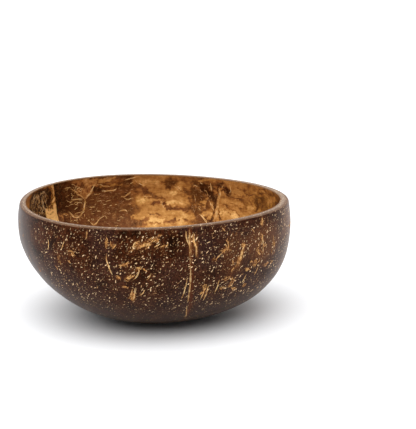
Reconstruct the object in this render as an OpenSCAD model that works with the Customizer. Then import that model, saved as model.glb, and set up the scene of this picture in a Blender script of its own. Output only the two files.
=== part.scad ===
// Bowl made from the lower half of a coconut's hard shell: cut level, cleaned, polished and
// sanded flat underneath. All sizes are in millimetres and all angles in degrees.
// +Z is up and the origin is the centre of the sanded foot, on the table.
// -Y faces the viewer and +X is the viewer's right. Azimuth 0 is +X and azimuth 90 is +Y.

/* [Shell] */
// Width across the belly, which is the widest level
belly_w = 141.5; // [126:0.5:154]
// Height from the table to the cut rim
bowl_h = 60; // [56:0.5:66]
// How far the belly lies below the rim
belly_drop = 10.8; // [8:0.2:14]
// Thickness of the wall at the belly
wall_t = 3.6; // [2.8:0.1:4.6]
// Thickness of the floor at the middle of the foot
floor_t = 3.4; // [2.6:0.1:5]
// How much of the round underside was sanded off to make the foot
sanded_depth = 1.6; // [1:0.1:2.2]
// Width of the eased edge round the foot
foot_ease = 0.5; // [0.3:0.1:0.9]

/* [Natural form] */
// How far the rim lies to the left of the foot
lean_left = 4.6; // [0:0.2:7]
// How far the rim lies to the back of the foot
lean_back = 2; // [0:0.2:5]
// How far the hollow lies to the left of the wall's own middle
hollow_shift = 0.5; // [0:0.1:0.8]
// Swell of the three-sided form, as a share of the radius
three_sided_share = 0.029; // [0:0.001:0.04]
// Swell of the oval form, as a share of the radius
oval_share = 0.006; // [0:0.001:0.02]

/* [Rim] */
// Rounding of the rim's outer edge
rim_outer_r = 1.2; // [0.6:0.1:1.6]
// Rounding of the rim's inner edge
rim_inner_r = 0.5; // [0.3:0.1:0.8]

/* [Seams] */
// Width of the furrow along each seam
furrow_w = 3.2; // [2.4:0.1:4.5]
// Depth of the furrow along each seam
furrow_depth = 0.45; // [0.2:0.05:0.7]

/* [Fibres and skin] */
// Width of a main fibre strand
fibre_w = 1.2; // [0.8:0.1:1.5]
// Height of a main fibre strand above the wall
fibre_t = 0.5; // [0.3:0.05:0.8]
// Clearance under each fibre strand
fibre_gap = 0.13; // [0.11:0.01:0.2]
// Thickness of the inner skin
skin_t = 0.3; // [0.2:0.05:0.5]
// Clearance under the inner skin and the veins
skin_gap = 0.3; // [0.28:0.01:0.4]
// Width of a vein on the inside wall
vein_w = 0.9; // [0.6:0.1:1.1]
// Height of a vein above the inside wall
vein_t = 0.4; // [0.25:0.05:0.6]

/* [Hidden] */

// Power of the curve from the foot to the belly, and of the rounding at the belly
belly_power = 2.1;
round_power = 2.3;
// Azimuths of the three seams, and of the swells of the natural form
front_seam_az = -73.6;
right_seam_az = 60.5;
left_seam_az = 140.7;
three_sided_az = 3.5;
oval_az = 20;

belly_r = belly_w / 2;
belly_z = bowl_h - belly_drop;
hollow_r = belly_r - wall_t;
outer_low_z = -sanded_depth;

// Mesh fineness
az_step = 6;
outer_rings = 18;
inner_rings = 15;
edge_rings = 3;
full_turn = 360;

// Profile of the shell

// Angle along the profile curve at height z, where the whole curve's lowest point is low_z
function curve_angle(z, low_z) =
    let (rise_share = (belly_z - z) / (belly_z - low_z))
    acos(sign(rise_share) * pow(abs(rise_share), belly_power / 2));

// Height on the profile curve at an angle
function curve_z(angle, low_z) =
    belly_z - (belly_z - low_z) * sign(cos(angle)) * pow(abs(cos(angle)), 2 / belly_power);

// Radius of the profile curve at height z
function curve_r(z, low_z, widest_r) =
    widest_r * pow(max(0, 1 - pow(abs(z - belly_z) / (belly_z - low_z), belly_power)), 1 / round_power);

// How the radius swells with the azimuth
function lobe_share(az) =
    1 + three_sided_share * cos(3 * (az - three_sided_az)) + oval_share * cos(2 * (az - oval_az));

// Share of the lean reached at height z
function lean_share(z) =
    let (rise_share = min(1, z / belly_z))
    rise_share * rise_share * (3 - 2 * rise_share);

// Point at an azimuth, a height and a plain radius
function place(az, z, r, shift = 0) = [
    r * lobe_share(az) * cos(az) - lean_left * lean_share(z) - shift,
    r * lobe_share(az) * sin(az) + lean_back * lean_share(z),
    z,
];

// Depth of the seam furrows at an azimuth, fading out towards the foot
function arc_from(az, seam_az, r) =
    let (turn = (az - seam_az + full_turn * 1.5) % full_turn - full_turn / 2)
    r * turn * PI / (full_turn / 2);
function furrow(az, r) =
    let (seams = [front_seam_az, right_seam_az, left_seam_az])
    let (shares = [for (seam_az = seams) exp(-pow(2 * arc_from(az, seam_az, r) / furrow_w, 2))])
    furrow_depth * max(shares) * min(1, r / belly_r);

// Points on the outside and on the inside wall
function outer_at(az, z) =
    let (r = curve_r(z, outer_low_z, belly_r))
    place(az, z, r - furrow(az, r));
function inner_at(az, z) = place(az, z, curve_r(z, floor_t, hollow_r), hollow_shift);

// Shell

// Azimuths from one seam to the next, closer together at the furrows
function seam_to_seam(from_az, to_az) =
    let (flank = furrow_w / belly_r * full_turn / (2 * PI))
    let (span = to_az - from_az - 2 * flank)
    let (steps = ceil(span / az_step))
    [
        from_az,
        from_az + flank / 2,
        for (i = [0:steps]) from_az + flank + span * i / steps,
        to_az - flank / 2,
    ];

shell_azimuths = concat(
    seam_to_seam(front_seam_az, right_seam_az),
    seam_to_seam(right_seam_az, left_seam_az),
    seam_to_seam(left_seam_az, front_seam_az + full_turn)
);

// Heights between two levels, spaced evenly along the profile curve
function levels(from_z, to_z, low_z, steps) =
    let (from_angle = curve_angle(from_z, low_z))
    let (to_angle = curve_angle(to_z, low_z))
    [for (i = [0:steps]) curve_z(from_angle + (to_angle - from_angle) * i / steps, low_z)];

// Rings of points from the foot up the outside, over the rim and down the inside
outer_wall_rings = [
    for (z = levels(foot_ease, bowl_h - rim_outer_r, outer_low_z, outer_rings))
        [for (az = shell_azimuths) outer_at(az, z)]
];
foot_ring = [
    for (az = shell_azimuths)
        let (r = curve_r(0, outer_low_z, belly_r))
        place(az, 0, r - furrow(az, r) - foot_ease)
];
outer_edge_rings = [
    for (i = [1:edge_rings])
        let (turn = 90 * i / edge_rings)
        let (z = bowl_h - rim_outer_r + rim_outer_r * sin(turn))
        let (r = curve_r(z, outer_low_z, belly_r))
        [for (az = shell_azimuths) place(az, z, r - furrow(az, r) - rim_outer_r * (1 - cos(turn)))]
];
inner_edge_rings = [
    for (i = [edge_rings:-1:1])
        let (turn = 90 * i / edge_rings)
        let (z = bowl_h - rim_inner_r + rim_inner_r * sin(turn))
        let (r = curve_r(z, floor_t, hollow_r) + rim_inner_r * (1 - cos(turn)))
        [for (az = shell_azimuths) place(az, z, r, hollow_shift)]
];
// The last level is the middle of the floor, which is one point and no ring
inner_levels = levels(bowl_h - rim_inner_r, floor_t, floor_t, inner_rings);
inner_wall_rings = [
    for (i = [0:inner_rings - 1])
        [for (az = shell_azimuths) inner_at(az, inner_levels[i])]
];
shell_rings = concat([foot_ring], outer_wall_rings, outer_edge_rings, inner_edge_rings, inner_wall_rings);

// Faces that join rings of n points each, where the last point of a ring meets its first
function ring_faces(rings_n, n) = [
    for (ring = [0:rings_n - 2], i = [0:n - 1])
        let (a = ring * n + i, b = ring * n + (i + 1) % n)
            each [[a, a + n, b], [b, a + n, b + n]]
];

module shell() {
    n = len(shell_azimuths);
    rings_n = len(shell_rings);
    middle = rings_n * n;
    points = concat([for (ring = shell_rings) each ring], [place(0, floor_t, 0, hollow_shift)]);
    faces = concat(
        [[for (i = [0:n - 1]) i]],
        ring_faces(rings_n, n),
        [for (i = [0:n - 1]) [middle - n + i, middle, middle - n + (i + 1) % n]]
    );
    color([0.24, 0.15, 0.10]) polyhedron(points = points, faces = faces);
}

// Strands that follow a wall

// Unit length vector, and the direction that points away from the wall at a place on it
function unit(v) = v / norm(v);
function outward(az, z, inside) =
    let (turn = 0.1, dz = foot_ease / 10)
    let (low_z = max(z - dz, floor_t + dz), high_z = min(z + dz, bowl_h))
    let (along = inside
        ? inner_at(az + turn, z) - inner_at(az - turn, z)
        : outer_at(az + turn, z) - outer_at(az - turn, z))
    let (up = inside
        ? inner_at(az, high_z) - inner_at(az, low_z)
        : outer_at(az, high_z) - outer_at(az, low_z))
    unit(cross(along, up)) * (inside ? -1 : 1);

// Point at a lift above a wall
function above(az, z, lift, inside) =
    (inside ? inner_at(az, z) : outer_at(az, z)) + outward(az, z, inside) * lift;

// A route is a list of [azimuth, height as a share of the bowl's], and this reads it at place
// t, which runs from 0 to 1
function along_route(route, t) =
    let (whole = t * (len(route) - 1))
    let (i = min(floor(whole), len(route) - 2))
    route[i] + (route[i + 1] - route[i]) * (whole - i);

// Points of a strand's cross-section, as shares of its half width and its height
strand_section_shares = [[-1, 0], [-0.72, 0.75], [0, 1], [0.72, 0.75], [1, 0]];
tip_share = 0.16;
degrees_per_radian = full_turn / (2 * PI);

// One strand: it follows the route on a wall, and thins to a tip at both ends
module strand(route, width, height, gap, inside = false, pieces = 3) {
    sections_n = (len(route) - 1) * pieces;
    n = len(strand_section_shares);
    points = [
        for (k = [0:sections_n])
            let (t = k / sections_n)
            let (here = along_route(route, t))
            let (low = along_route(route, max(0, t - 1 / sections_n)))
            let (high = along_route(route, min(1, t + 1 / sections_n)))
            let (swell = tip_share + (1 - tip_share) * pow(sin(180 * t), 0.6))
            let (z = here[1] * bowl_h)
            let (r = curve_r(z, outer_low_z, belly_r))
            // Direction of the route on the unrolled wall, and the direction across it
            let (run = unit([(high[0] - low[0]) / degrees_per_radian * r, (high[1] - low[1]) * bowl_h]))
            for (share = strand_section_shares)
                let (side = share[0] * swell * width / 2)
                above(
                    here[0] + side * run[1] / r * degrees_per_radian,
                    z - side * run[0],
                    gap + share[1] * swell * height,
                    inside
                )
    ];
    faces = concat(
        [[for (i = [0:n - 1]) i], [for (i = [n - 1:-1:0]) sections_n * n + i]],
        ring_faces(sections_n + 1, n)
    );
    polyhedron(points = points, faces = faces);
}

// Fibres in the seams

// Routes in the front seam, and the share of the full strand size that each has
front_seam_shares = [
    [1.25, [
        [-73.6, 0.972], [-73.8, 0.89], [-73.4, 0.78], [-73.2, 0.69],
        [-73.6, 0.6], [-74.1, 0.48], [-74.6, 0.34],
    ]],
    [0.6, [[-75.8, 0.965], [-75.7, 0.91], [-75.2, 0.865]]],
    [0.7, [[-71.9, 0.94], [-71.7, 0.9], [-71, 0.845], [-70.8, 0.78], [-71.2, 0.735]]],
    [0.65, [[-76.3, 0.53], [-77.2, 0.46], [-78.3, 0.38]]],
    [0.5, [[-75.4, 0.3], [-74.6, 0.22], [-73.2, 0.13]]],
];
right_seam_shares = [
    [1.1, [[60.4, 0.96], [60.7, 0.85], [60.3, 0.72], [60.8, 0.6], [60.4, 0.45]]],
    [0.6, [[62.9, 0.9], [63.1, 0.83], [62.7, 0.76]]],
    [0.65, [[58.2, 0.66], [57.9, 0.58], [58.3, 0.5]]],
    [0.5, [[60.2, 0.4], [59.2, 0.3], [59.6, 0.2]]],
];
left_seam_shares = [
    [1.2, [[140.9, 0.965], [140.5, 0.86], [141, 0.74], [140.6, 0.62], [140.2, 0.5], [140.8, 0.38]]],
    [0.65, [[138.3, 0.93], [138, 0.86], [138.4, 0.79]]],
    [0.6, [[143.4, 0.72], [143.8, 0.64], [143.2, 0.56]]],
    [0.5, [[140.9, 0.31], [142, 0.24], [141.4, 0.16]]],
];

module outer_strands(routes) {
    for (entry = routes)
        strand(entry[1], fibre_w * entry[0], fibre_t * entry[0], fibre_gap);
}

module front_seam_fibres() {
    color([0.79, 0.58, 0.33]) outer_strands(front_seam_shares);
}

module right_seam_fibres() {
    color([0.76, 0.55, 0.31]) outer_strands(right_seam_shares);
}

module left_seam_fibres() {
    color([0.74, 0.53, 0.30]) outer_strands(left_seam_shares);
}

// Husk fibres on the rest of the outside wall, in the same form
front_wall_shares = [
    // Left of the front seam
    [0.5, [[-133.7, 0.855], [-133.6, 0.81], [-134, 0.765]]],
    [0.5, [[-124.9, 0.868], [-125.8, 0.83], [-126.5, 0.79]]],
    [0.55, [[-115.1, 0.965], [-115, 0.935], [-115.4, 0.9]]],
    [0.45, [[-107.2, 0.89], [-107, 0.87], [-107.1, 0.845]]],
    [0.65, [[-107.1, 0.8], [-107, 0.745], [-106.4, 0.68], [-105.7, 0.62]]],
    [0.55, [[-96.9, 0.83], [-96.6, 0.87], [-95.6, 0.895], [-93.8, 0.91]]],
    [0.5, [[-91.8, 0.86], [-90.7, 0.885], [-89.2, 0.9]]],
    [0.45, [[-88.6, 0.855], [-87.4, 0.865], [-86.2, 0.88]]],
    [0.6, [[-94.9, 0.68], [-95.2, 0.64], [-96.4, 0.605], [-98, 0.57]]],
    [0.45, [[-90.4, 0.63], [-91.1, 0.605], [-92.3, 0.575]]],
    [0.6, [[-97.4, 0.51], [-98.3, 0.46], [-100.2, 0.38]]],
    [0.5, [[-98.9, 0.5], [-99.9, 0.45], [-101.6, 0.4]]],
    [0.5, [[-93.8, 0.49], [-95.2, 0.455], [-97.2, 0.425]]],
    [0.45, [[-121.7, 0.78], [-121.4, 0.765], [-121.2, 0.745]]],
    [0.45, [[-102.6, 0.705], [-100.8, 0.71], [-99, 0.72]]],
    // Right of the front seam
    [0.6, [[-65.6, 0.485], [-66.1, 0.42], [-67, 0.335]]],
    [0.5, [[-67.2, 0.475], [-67.9, 0.41], [-68.8, 0.35]]],
    [0.55, [[-60.3, 0.52], [-60.9, 0.46], [-61.8, 0.39]]],
    [0.45, [[-51.8, 0.505], [-52.3, 0.47], [-53, 0.437]]],
    [0.45, [[-57.6, 0.5], [-55.9, 0.51], [-54.2, 0.523]]],
    [0.5, [[-59.5, 0.75], [-60.8, 0.735], [-62.2, 0.71]]],
    [0.5, [[-58.9, 0.96], [-58.3, 0.945], [-57.6, 0.93]]],
    [0.5, [[-58, 0.83], [-57.2, 0.8], [-56.8, 0.765]]],
    [0.75, [[-47.5, 0.8], [-48.7, 0.75], [-49.9, 0.69], [-51.1, 0.64]]],
    [0.5, [[-36.9, 0.84], [-36.6, 0.78], [-36.3, 0.72], [-36.1, 0.66]]],
    [0.45, [[-43.5, 0.91], [-42.6, 0.895], [-41.8, 0.875]]],
    [0.45, [[-28.6, 0.8], [-28.9, 0.76], [-29.4, 0.72]]],
    [0.45, [[-45.2, 0.52], [-45.9, 0.485], [-46.8, 0.45]]],
    [0.45, [[-38.4, 0.56], [-39, 0.52], [-39.8, 0.49]]],
];
back_wall_shares = [
    [0.55, [[-8.2, 0.86], [-8.4, 0.81], [-8.9, 0.76]]],
    [0.5, [[1.6, 0.62], [1.2, 0.57], [0.4, 0.52]]],
    [0.6, [[12.4, 0.91], [12.1, 0.85], [12.8, 0.78]]],
    [0.5, [[20.5, 0.56], [20, 0.5], [18.9, 0.44]]],
    [0.55, [[31.2, 0.83], [31.6, 0.78], [31, 0.72]]],
    [0.45, [[38.6, 0.47], [39.9, 0.45], [41.2, 0.44]]],
    [0.6, [[47.3, 0.92], [46.9, 0.86], [47.4, 0.79]]],
    [0.5, [[72.6, 0.7], [71.8, 0.65], [71.5, 0.59]]],
    [0.6, [[80.1, 0.9], [80.4, 0.84], [79.6, 0.77]]],
    [0.45, [[88.5, 0.48], [87.2, 0.46], [86.2, 0.43]]],
    [0.55, [[98.2, 0.8], [98.5, 0.74], [97.9, 0.67]]],
    [0.5, [[107.4, 0.55], [106.6, 0.5], [106.2, 0.44]]],
    [0.6, [[117.8, 0.93], [117.4, 0.87], [118, 0.81]]],
    [0.5, [[127.2, 0.62], [126.5, 0.57], [126.2, 0.51]]],
    [0.55, [[153.1, 0.88], [153.5, 0.82], [152.9, 0.76]]],
    [0.5, [[162.4, 0.54], [161.5, 0.49], [161.1, 0.43]]],
    [0.55, [[173.6, 0.84], [173.1, 0.78], [173.7, 0.71]]],
    [0.5, [[184.9, 0.61], [184.2, 0.56], [183.9, 0.5]]],
    [0.55, [[196.3, 0.9], [196.8, 0.85], [196.1, 0.79]]],
    [0.45, [[206.8, 0.66], [206, 0.62], [205.6, 0.57]]],
];

module front_wall_fibres() {
    color([0.80, 0.60, 0.36]) outer_strands(front_wall_shares);
}

module back_wall_fibres() {
    color([0.77, 0.57, 0.34]) outer_strands(back_wall_shares);
}

// Flakes of inner skin

flake_rings = 3;
flake_sides = 18;

// How far a flake's ragged outline reaches in a direction, as a share of its half size
function outline_share(turn, seed) =
    1 + 0.14 * sin(2 * turn + seed) + 0.1 * sin(3 * turn + 2 * seed) + 0.06 * sin(5 * turn + 3 * seed);

// One flake, which lies on the inside wall round a place and is one skin thick
module flake(az, height_share, half_az, half_height_share, seed) {
    function sheet(lift) = concat(
        [above(az, height_share * bowl_h, lift, true)],
        [
            for (ring = [1:flake_rings], side = [0:flake_sides - 1])
                let (turn = full_turn * side / flake_sides)
                let (reach_share = outline_share(turn, seed) * ring / flake_rings)
                above(
                    az - half_az * reach_share * cos(turn),
                    (height_share + half_height_share * reach_share * sin(turn)) * bowl_h,
                    lift,
                    true
                )
        ]
    );
    sheet_n = 1 + flake_rings * flake_sides;
    edge = 1 + (flake_rings - 1) * flake_sides;
    // Triangles of the sheet nearer the hollow, seen from the hollow
    front = [
        for (i = [0:flake_sides - 1])
            let (j = (i + 1) % flake_sides)
                each concat(
                    [[0, 1 + j, 1 + i]],
                    [for (ring = [0:flake_rings - 2])
                        let (a = 1 + ring * flake_sides, b = a + flake_sides)
                            each [[a + i, a + j, b + i], [a + j, b + j, b + i]]]
                )
    ];
    back = [for (f = front) [f[0] + sheet_n, f[2] + sheet_n, f[1] + sheet_n]];
    rim = [
        for (i = [0:flake_sides - 1])
            let (a = edge + i, b = edge + (i + 1) % flake_sides)
                each [[a, b, b + sheet_n], [a, b + sheet_n, a + sheet_n]]
    ];
    polyhedron(
        points = concat(sheet(skin_gap + skin_t), sheet(skin_gap)),
        faces = concat(front, back, rim)
    );
}

// Each row is azimuth, height share, half width in degrees, half height share, and a seed
left_skin_shares = [
    [145.3, 0.705, 3.9, 0.07, 10],
    [145.2, 0.872, 2.5, 0.045, 130],
    [162.2, 0.85, 3.8, 0.045, 70],
];
middle_skin_shares = [
    [90.6, 0.57, 8.2, 0.085, 40],
    [94.4, 0.742, 3, 0.032, 200],
    [109.4, 0.928, 4.2, 0.026, 300],
    [88.2, 0.92, 6, 0.028, 95],
];
right_skin_shares = [
    [41.2, 0.65, 7.4, 0.1, 160],
    [20.4, 0.77, 7.2, 0.062, 250],
    [78.1, 0.72, 5.4, 0.052, 20],
];
front_skin_shares = [
    [258.6, 0.59, 9.8, 0.078, 215],
    [310.3, 0.78, 8.4, 0.052, 60],
    [214.2, 0.66, 7.6, 0.052, 345],
];

module flakes(table) {
    for (row = table)
        flake(row[0], row[1], row[2], row[3], row[4]);
}

module left_inner_skin() {
    color([0.81, 0.60, 0.30]) flakes(left_skin_shares);
}

module middle_inner_skin() {
    color([0.83, 0.62, 0.32]) flakes(middle_skin_shares);
}

module right_inner_skin() {
    color([0.80, 0.58, 0.30]) flakes(right_skin_shares);
}

module front_inner_skin() {
    color([0.78, 0.57, 0.29]) flakes(front_skin_shares);
}

// Veins on the inside wall

left_vein_shares = [
    [0.9, [[130.4, 0.915], [127.4, 0.87], [124.6, 0.83]]],
    [0.9, [[118, 0.897], [119.5, 0.845], [121.2, 0.812], [122.6, 0.793], [122.2, 0.755], [123.5, 0.715]]],
    [0.8, [[130.3, 0.793], [127.6, 0.804], [125.4, 0.8]]],
    [0.85, [[124.2, 0.69], [125, 0.665], [127.7, 0.64], [129.8, 0.66], [132.3, 0.705]]],
    [0.7, [[121.7, 0.58], [120.3, 0.557], [117.7, 0.578]]],
    [0.7, [[107.6, 0.79], [105.2, 0.8], [102.2, 0.804], [100.2, 0.82]]],
    [0.7, [[113.6, 0.85], [110.6, 0.856], [107.2, 0.862]]],
];
right_vein_shares = [
    [1, [[54.2, 0.908], [53.6, 0.865], [54.6, 0.8]]],
    [0.8, [[59.5, 0.93], [58.6, 0.88], [57.4, 0.83]]],
    [0.8, [[59.7, 0.78], [58.4, 0.73], [57.2, 0.69]]],
    [0.75, [[65.3, 0.647], [63, 0.613], [60.5, 0.573]]],
    [0.7, [[77.4, 0.895], [75.3, 0.867], [73.9, 0.84]]],
    [0.7, [[28.4, 0.6], [25.6, 0.583], [22.4, 0.592]]],
];

module inner_strands(routes) {
    for (entry = routes)
        strand(entry[1], vein_w * entry[0], vein_t * entry[0], skin_gap, inside = true);
}

module left_inner_veins() {
    color([0.72, 0.50, 0.26]) inner_strands(left_vein_shares);
}

module right_inner_veins() {
    color([0.70, 0.48, 0.25]) inner_strands(right_vein_shares);
}

shell();
front_seam_fibres();
right_seam_fibres();
left_seam_fibres();
front_wall_fibres();
back_wall_fibres();
left_inner_skin();
middle_inner_skin();
right_inner_skin();
front_inner_skin();
left_inner_veins();
right_inner_veins();
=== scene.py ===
"""Bowl cut from the lower half of a coconut's hard shell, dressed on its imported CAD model.

Lengths are in millimetres and azimuths in degrees until a mesh is written, which is in metres.
Azimuth 0 is +X, azimuth 90 is +Y, and -Y faces the viewer.
"""
import logging
import math
from dataclasses import dataclass
from enum import Enum

import bmesh
import bpy
import numpy as np
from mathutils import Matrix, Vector


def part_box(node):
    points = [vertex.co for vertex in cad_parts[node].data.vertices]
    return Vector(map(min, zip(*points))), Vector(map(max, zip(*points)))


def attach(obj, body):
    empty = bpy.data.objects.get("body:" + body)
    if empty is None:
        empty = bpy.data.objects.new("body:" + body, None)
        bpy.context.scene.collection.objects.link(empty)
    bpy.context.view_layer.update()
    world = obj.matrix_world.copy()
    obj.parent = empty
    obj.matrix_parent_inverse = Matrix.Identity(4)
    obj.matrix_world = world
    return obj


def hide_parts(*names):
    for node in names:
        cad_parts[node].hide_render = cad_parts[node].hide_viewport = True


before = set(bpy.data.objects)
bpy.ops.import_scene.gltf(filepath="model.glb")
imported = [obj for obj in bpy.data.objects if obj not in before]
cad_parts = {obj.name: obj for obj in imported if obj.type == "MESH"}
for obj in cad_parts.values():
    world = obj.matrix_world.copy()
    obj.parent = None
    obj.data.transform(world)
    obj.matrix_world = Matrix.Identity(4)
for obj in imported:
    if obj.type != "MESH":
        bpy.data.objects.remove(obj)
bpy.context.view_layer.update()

log = logging.getLogger("coconut_bowl")
Socket = bpy.types.NodeSocket

MM = 0.001
FULL_TURN = 360.0
BODY = "root"
# Length of one degree round the wall near the belly
MM_PER_DEGREE = 1.19
# Vertices that are closer than this are one
SAME_PLACE = 0.0005
# Keeps a division away from zero
TINY = 1e-9


class Side(Enum):
    """The two walls of the shell."""

    OUTER = 0
    INNER = 1


def linear(hex_colour: str) -> tuple[float, float, float, float]:
    """Turns an sRGB hex colour to linear.

    Args:
        hex_colour: Colour such as "#c98f48".

    Returns:
        Linear red, green and blue, and an alpha of 1.
    """
    parts = [int(hex_colour[i:i + 2], 16) / 255 for i in (1, 3, 5)]
    values = [p / 12.92 if p <= 0.04045 else ((p + 0.055) / 1.055) ** 2.4 for p in parts]
    return values[0], values[1], values[2], 1.0


def smooth(low: float, high: float, x: np.ndarray) -> np.ndarray:
    """Rises smoothly from 0 at low to 1 at high, and works with low above high too."""
    t = np.clip((x - low) / (high - low), 0, 1)
    return t * t * (3 - 2 * t)


def turn_from(az: np.ndarray, start: float) -> np.ndarray:
    """Gives the azimuth from a start, between -180 and 180 degrees."""
    half_turn = FULL_TURN / 2
    return (az - start + FULL_TURN + half_turn) % FULL_TURN - half_turn


def near(az: np.ndarray, middle: float, far: float, close: float) -> np.ndarray:
    """Gives 1 within so many degrees of a middle azimuth, and 0 from farther degrees on."""
    return smooth(far, close, np.abs(turn_from(az, middle)))


def wander(points: np.ndarray, wavelength: float, seed: int) -> np.ndarray:
    """Gives a smooth, uneven value for each point, as growth leaves on a natural surface.

    Args:
        points: Array of points, one in each row.
        wavelength: Usual distance between two swells.
        seed: Chooses the pattern.

    Returns:
        Values that mostly lie between -1 and 1.
    """
    chance = np.random.default_rng(seed)
    total = np.zeros(len(points))
    waves = 7
    for _ in range(waves):
        direction = chance.normal(size=3)
        direction /= np.linalg.norm(direction)
        length = wavelength * chance.uniform(0.6, 1.6)
        total += np.sin(points @ direction * 2 * math.pi / length + chance.uniform(0, 2 * math.pi))
    return total / math.sqrt(waves)


def strayed(values: np.ndarray | float, points: np.ndarray, *waves: tuple[float, float, int]) -> np.ndarray:
    """Adds wander to values.

    Args:
        values: What it is added to.
        points: Array of points, one in each row.
        *waves: Amount, wavelength and seed of each pattern.

    Returns:
        The new values.
    """
    for amount, wavelength, seed in waves:
        values = values + amount * wander(points, wavelength, seed)
    return values


@dataclass(frozen=True)
class WallShape:
    """The grown form: a round curve from foot to rim, a three-sided swell, a lean and three furrows."""

    height: float
    belly_r: float
    belly_drop: float = 10.8
    wall: float = 3.6
    floor: float = 3.4
    sanded: float = 1.6
    ease: float = 0.5
    lean_left: float = 4.6
    lean_back: float = 2.0
    hollow_shift: float = 0.5
    three_sided: float = 0.029
    three_sided_az: float = 3.5
    oval: float = 0.006
    oval_az: float = 20.0
    rim_outer: float = 1.2
    rim_inner: float = 0.5
    furrow_w: float = 3.2
    furrow_depth: float = 0.45
    seams: tuple[float, ...] = (-73.6, 60.5, 140.7)
    belly_power: float = 2.1
    round_power: float = 2.3
    ripple_depth: float = 0.07
    ripple_length: float = 17.0
    even_low: float = 8.0
    even_top: float = 5.0
    nudge: float = 0.1

    @classmethod
    def fitted(cls, node: str) -> "WallShape":
        """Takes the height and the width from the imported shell.

        Args:
            node: Name of the CAD node.

        Returns:
            The shape whose box is that node's box.
        """
        low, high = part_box(node)
        plain = cls(height=(high.z - low.z) / MM, belly_r=1.0)
        az = np.radians(np.arange(0, FULL_TURN, 0.5))
        x = plain.lobe(np.degrees(az)) * np.cos(az)
        return cls(height=plain.height, belly_r=(high.x - low.x) / MM / (x.max() - x.min()))

    @property
    def belly_z(self) -> float:
        """Height of the widest level."""
        return self.height - self.belly_drop

    def lobe(self, az: np.ndarray) -> np.ndarray:
        """How the radius swells with the azimuth."""
        three = self.three_sided * np.cos(3 * np.radians(az - self.three_sided_az))
        return 1 + three + self.oval * np.cos(2 * np.radians(az - self.oval_az))

    def low_z(self, side: Side) -> float:
        """Lowest height of a wall's whole curve."""
        return -self.sanded if side is Side.OUTER else self.floor

    def radius(self, z: np.ndarray, side: Side) -> np.ndarray:
        """Plain radius of a wall at a height."""
        low = self.low_z(side)
        widest = self.belly_r - (0.0 if side is Side.OUTER else self.wall)
        share = np.clip(np.abs(z - self.belly_z) / (self.belly_z - low), 0, 1)
        return widest * (1 - share ** self.belly_power) ** (1 / self.round_power)

    def levels(self, from_z: float, to_z: float, side: Side, steps: int) -> np.ndarray:
        """Heights between two levels, spaced evenly along a wall's curve.

        Args:
            from_z: First height.
            to_z: Last height.
            side: Which wall.
            steps: How many parts the stretch is cut into.

        Returns:
            Heights, one more than the steps.
        """
        span = self.belly_z - self.low_z(side)
        share = (self.belly_z - np.array([from_z, to_z])) / span
        ends = np.arccos(np.sign(share) * np.abs(share) ** (self.belly_power / 2))
        cosine = np.cos(np.linspace(ends[0], ends[1], steps + 1))
        return self.belly_z - span * np.sign(cosine) * np.abs(cosine) ** (2 / self.belly_power)

    def furrow(self, az: np.ndarray, r: np.ndarray) -> np.ndarray:
        """Depth of the seam furrows on the outside, which fade out towards the foot."""
        arcs = [np.radians(turn_from(az, seam)) * r for seam in self.seams]
        deepest = np.max([np.exp(-(2 * arc / self.furrow_w) ** 2) for arc in arcs], axis=0)
        return self.furrow_depth * deepest * np.minimum(1, r / self.belly_r)

    def place(self, az: np.ndarray, z: np.ndarray, r: np.ndarray, inside: np.ndarray) -> np.ndarray:
        """Turns azimuth, height and plain radius to a point of the grown form.

        Args:
            az: Azimuths.
            z: Heights.
            r: Plain radii.
            inside: 0 on the outer wall, 1 on the inner wall, and in between across the rim.

        Returns:
            Points, one in each row.
        """
        share = np.minimum(1, z / self.belly_z)
        lean = share * share * (3 - 2 * share)
        turn = np.radians(az)
        grown = (r - self.furrow(az, r) * (1 - inside)) * self.lobe(az)
        x = grown * np.cos(turn) - self.lean_left * lean - self.hollow_shift * inside
        y = grown * np.sin(turn) + self.lean_back * lean
        points = np.stack([x, y, z], axis=-1)
        # The scraped and sanded wall is never quite even. The foot and the rim are flat.
        away = np.stack([np.cos(turn), np.sin(turn), 0 * turn], axis=-1)
        fade = smooth(self.ease, self.even_low, z) * smooth(self.height, self.height - self.even_top, z)
        ripple = wander(points, self.ripple_length, 4) * self.ripple_depth * fade
        return points + away * ripple[..., None]

    def on_wall(self, az: np.ndarray, z: np.ndarray, side: Side) -> np.ndarray:
        """Points on a wall."""
        return self.place(az, z, self.radius(z, side), np.full_like(az, side.value))

    def outward(self, az: np.ndarray, z: np.ndarray, side: Side) -> np.ndarray:
        """Unit vectors that point away from a wall."""
        low = np.maximum(z - self.nudge, self.low_z(side) + self.nudge / 2)
        high = np.minimum(z + self.nudge, self.height)
        up = self.on_wall(az, high, side) - self.on_wall(az, low, side)
        along = self.on_wall(az + self.nudge, z, side) - self.on_wall(az - self.nudge, z, side)
        away = np.cross(along, up) * (1 if side is Side.OUTER else -1)
        return away / np.linalg.norm(away, axis=-1, keepdims=True)


@dataclass(frozen=True)
class Patch:
    """A soft-edged oval place on a wall, where the colour differs from the ground."""

    az: float
    z: float
    half_along: float
    half_across: float
    tilt: float
    tone: float
    red: float = 0.5

    def share(self, az: np.ndarray, z: np.ndarray, softness: float) -> np.ndarray:
        """How much of the patch each place gets.

        Args:
            az: Azimuths.
            z: Heights.
            softness: Width of the soft edge, as a share of the half size.

        Returns:
            0 outside, 1 inside.
        """
        along = turn_from(az, self.az) * MM_PER_DEGREE
        up = z - self.z
        c, s = math.cos(math.radians(self.tilt)), math.sin(math.radians(self.tilt))
        reach = np.hypot((along * c + up * s) / self.half_along, (up * c - along * s) / self.half_across)
        return smooth(1 + softness, 1 - softness, reach)


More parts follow.
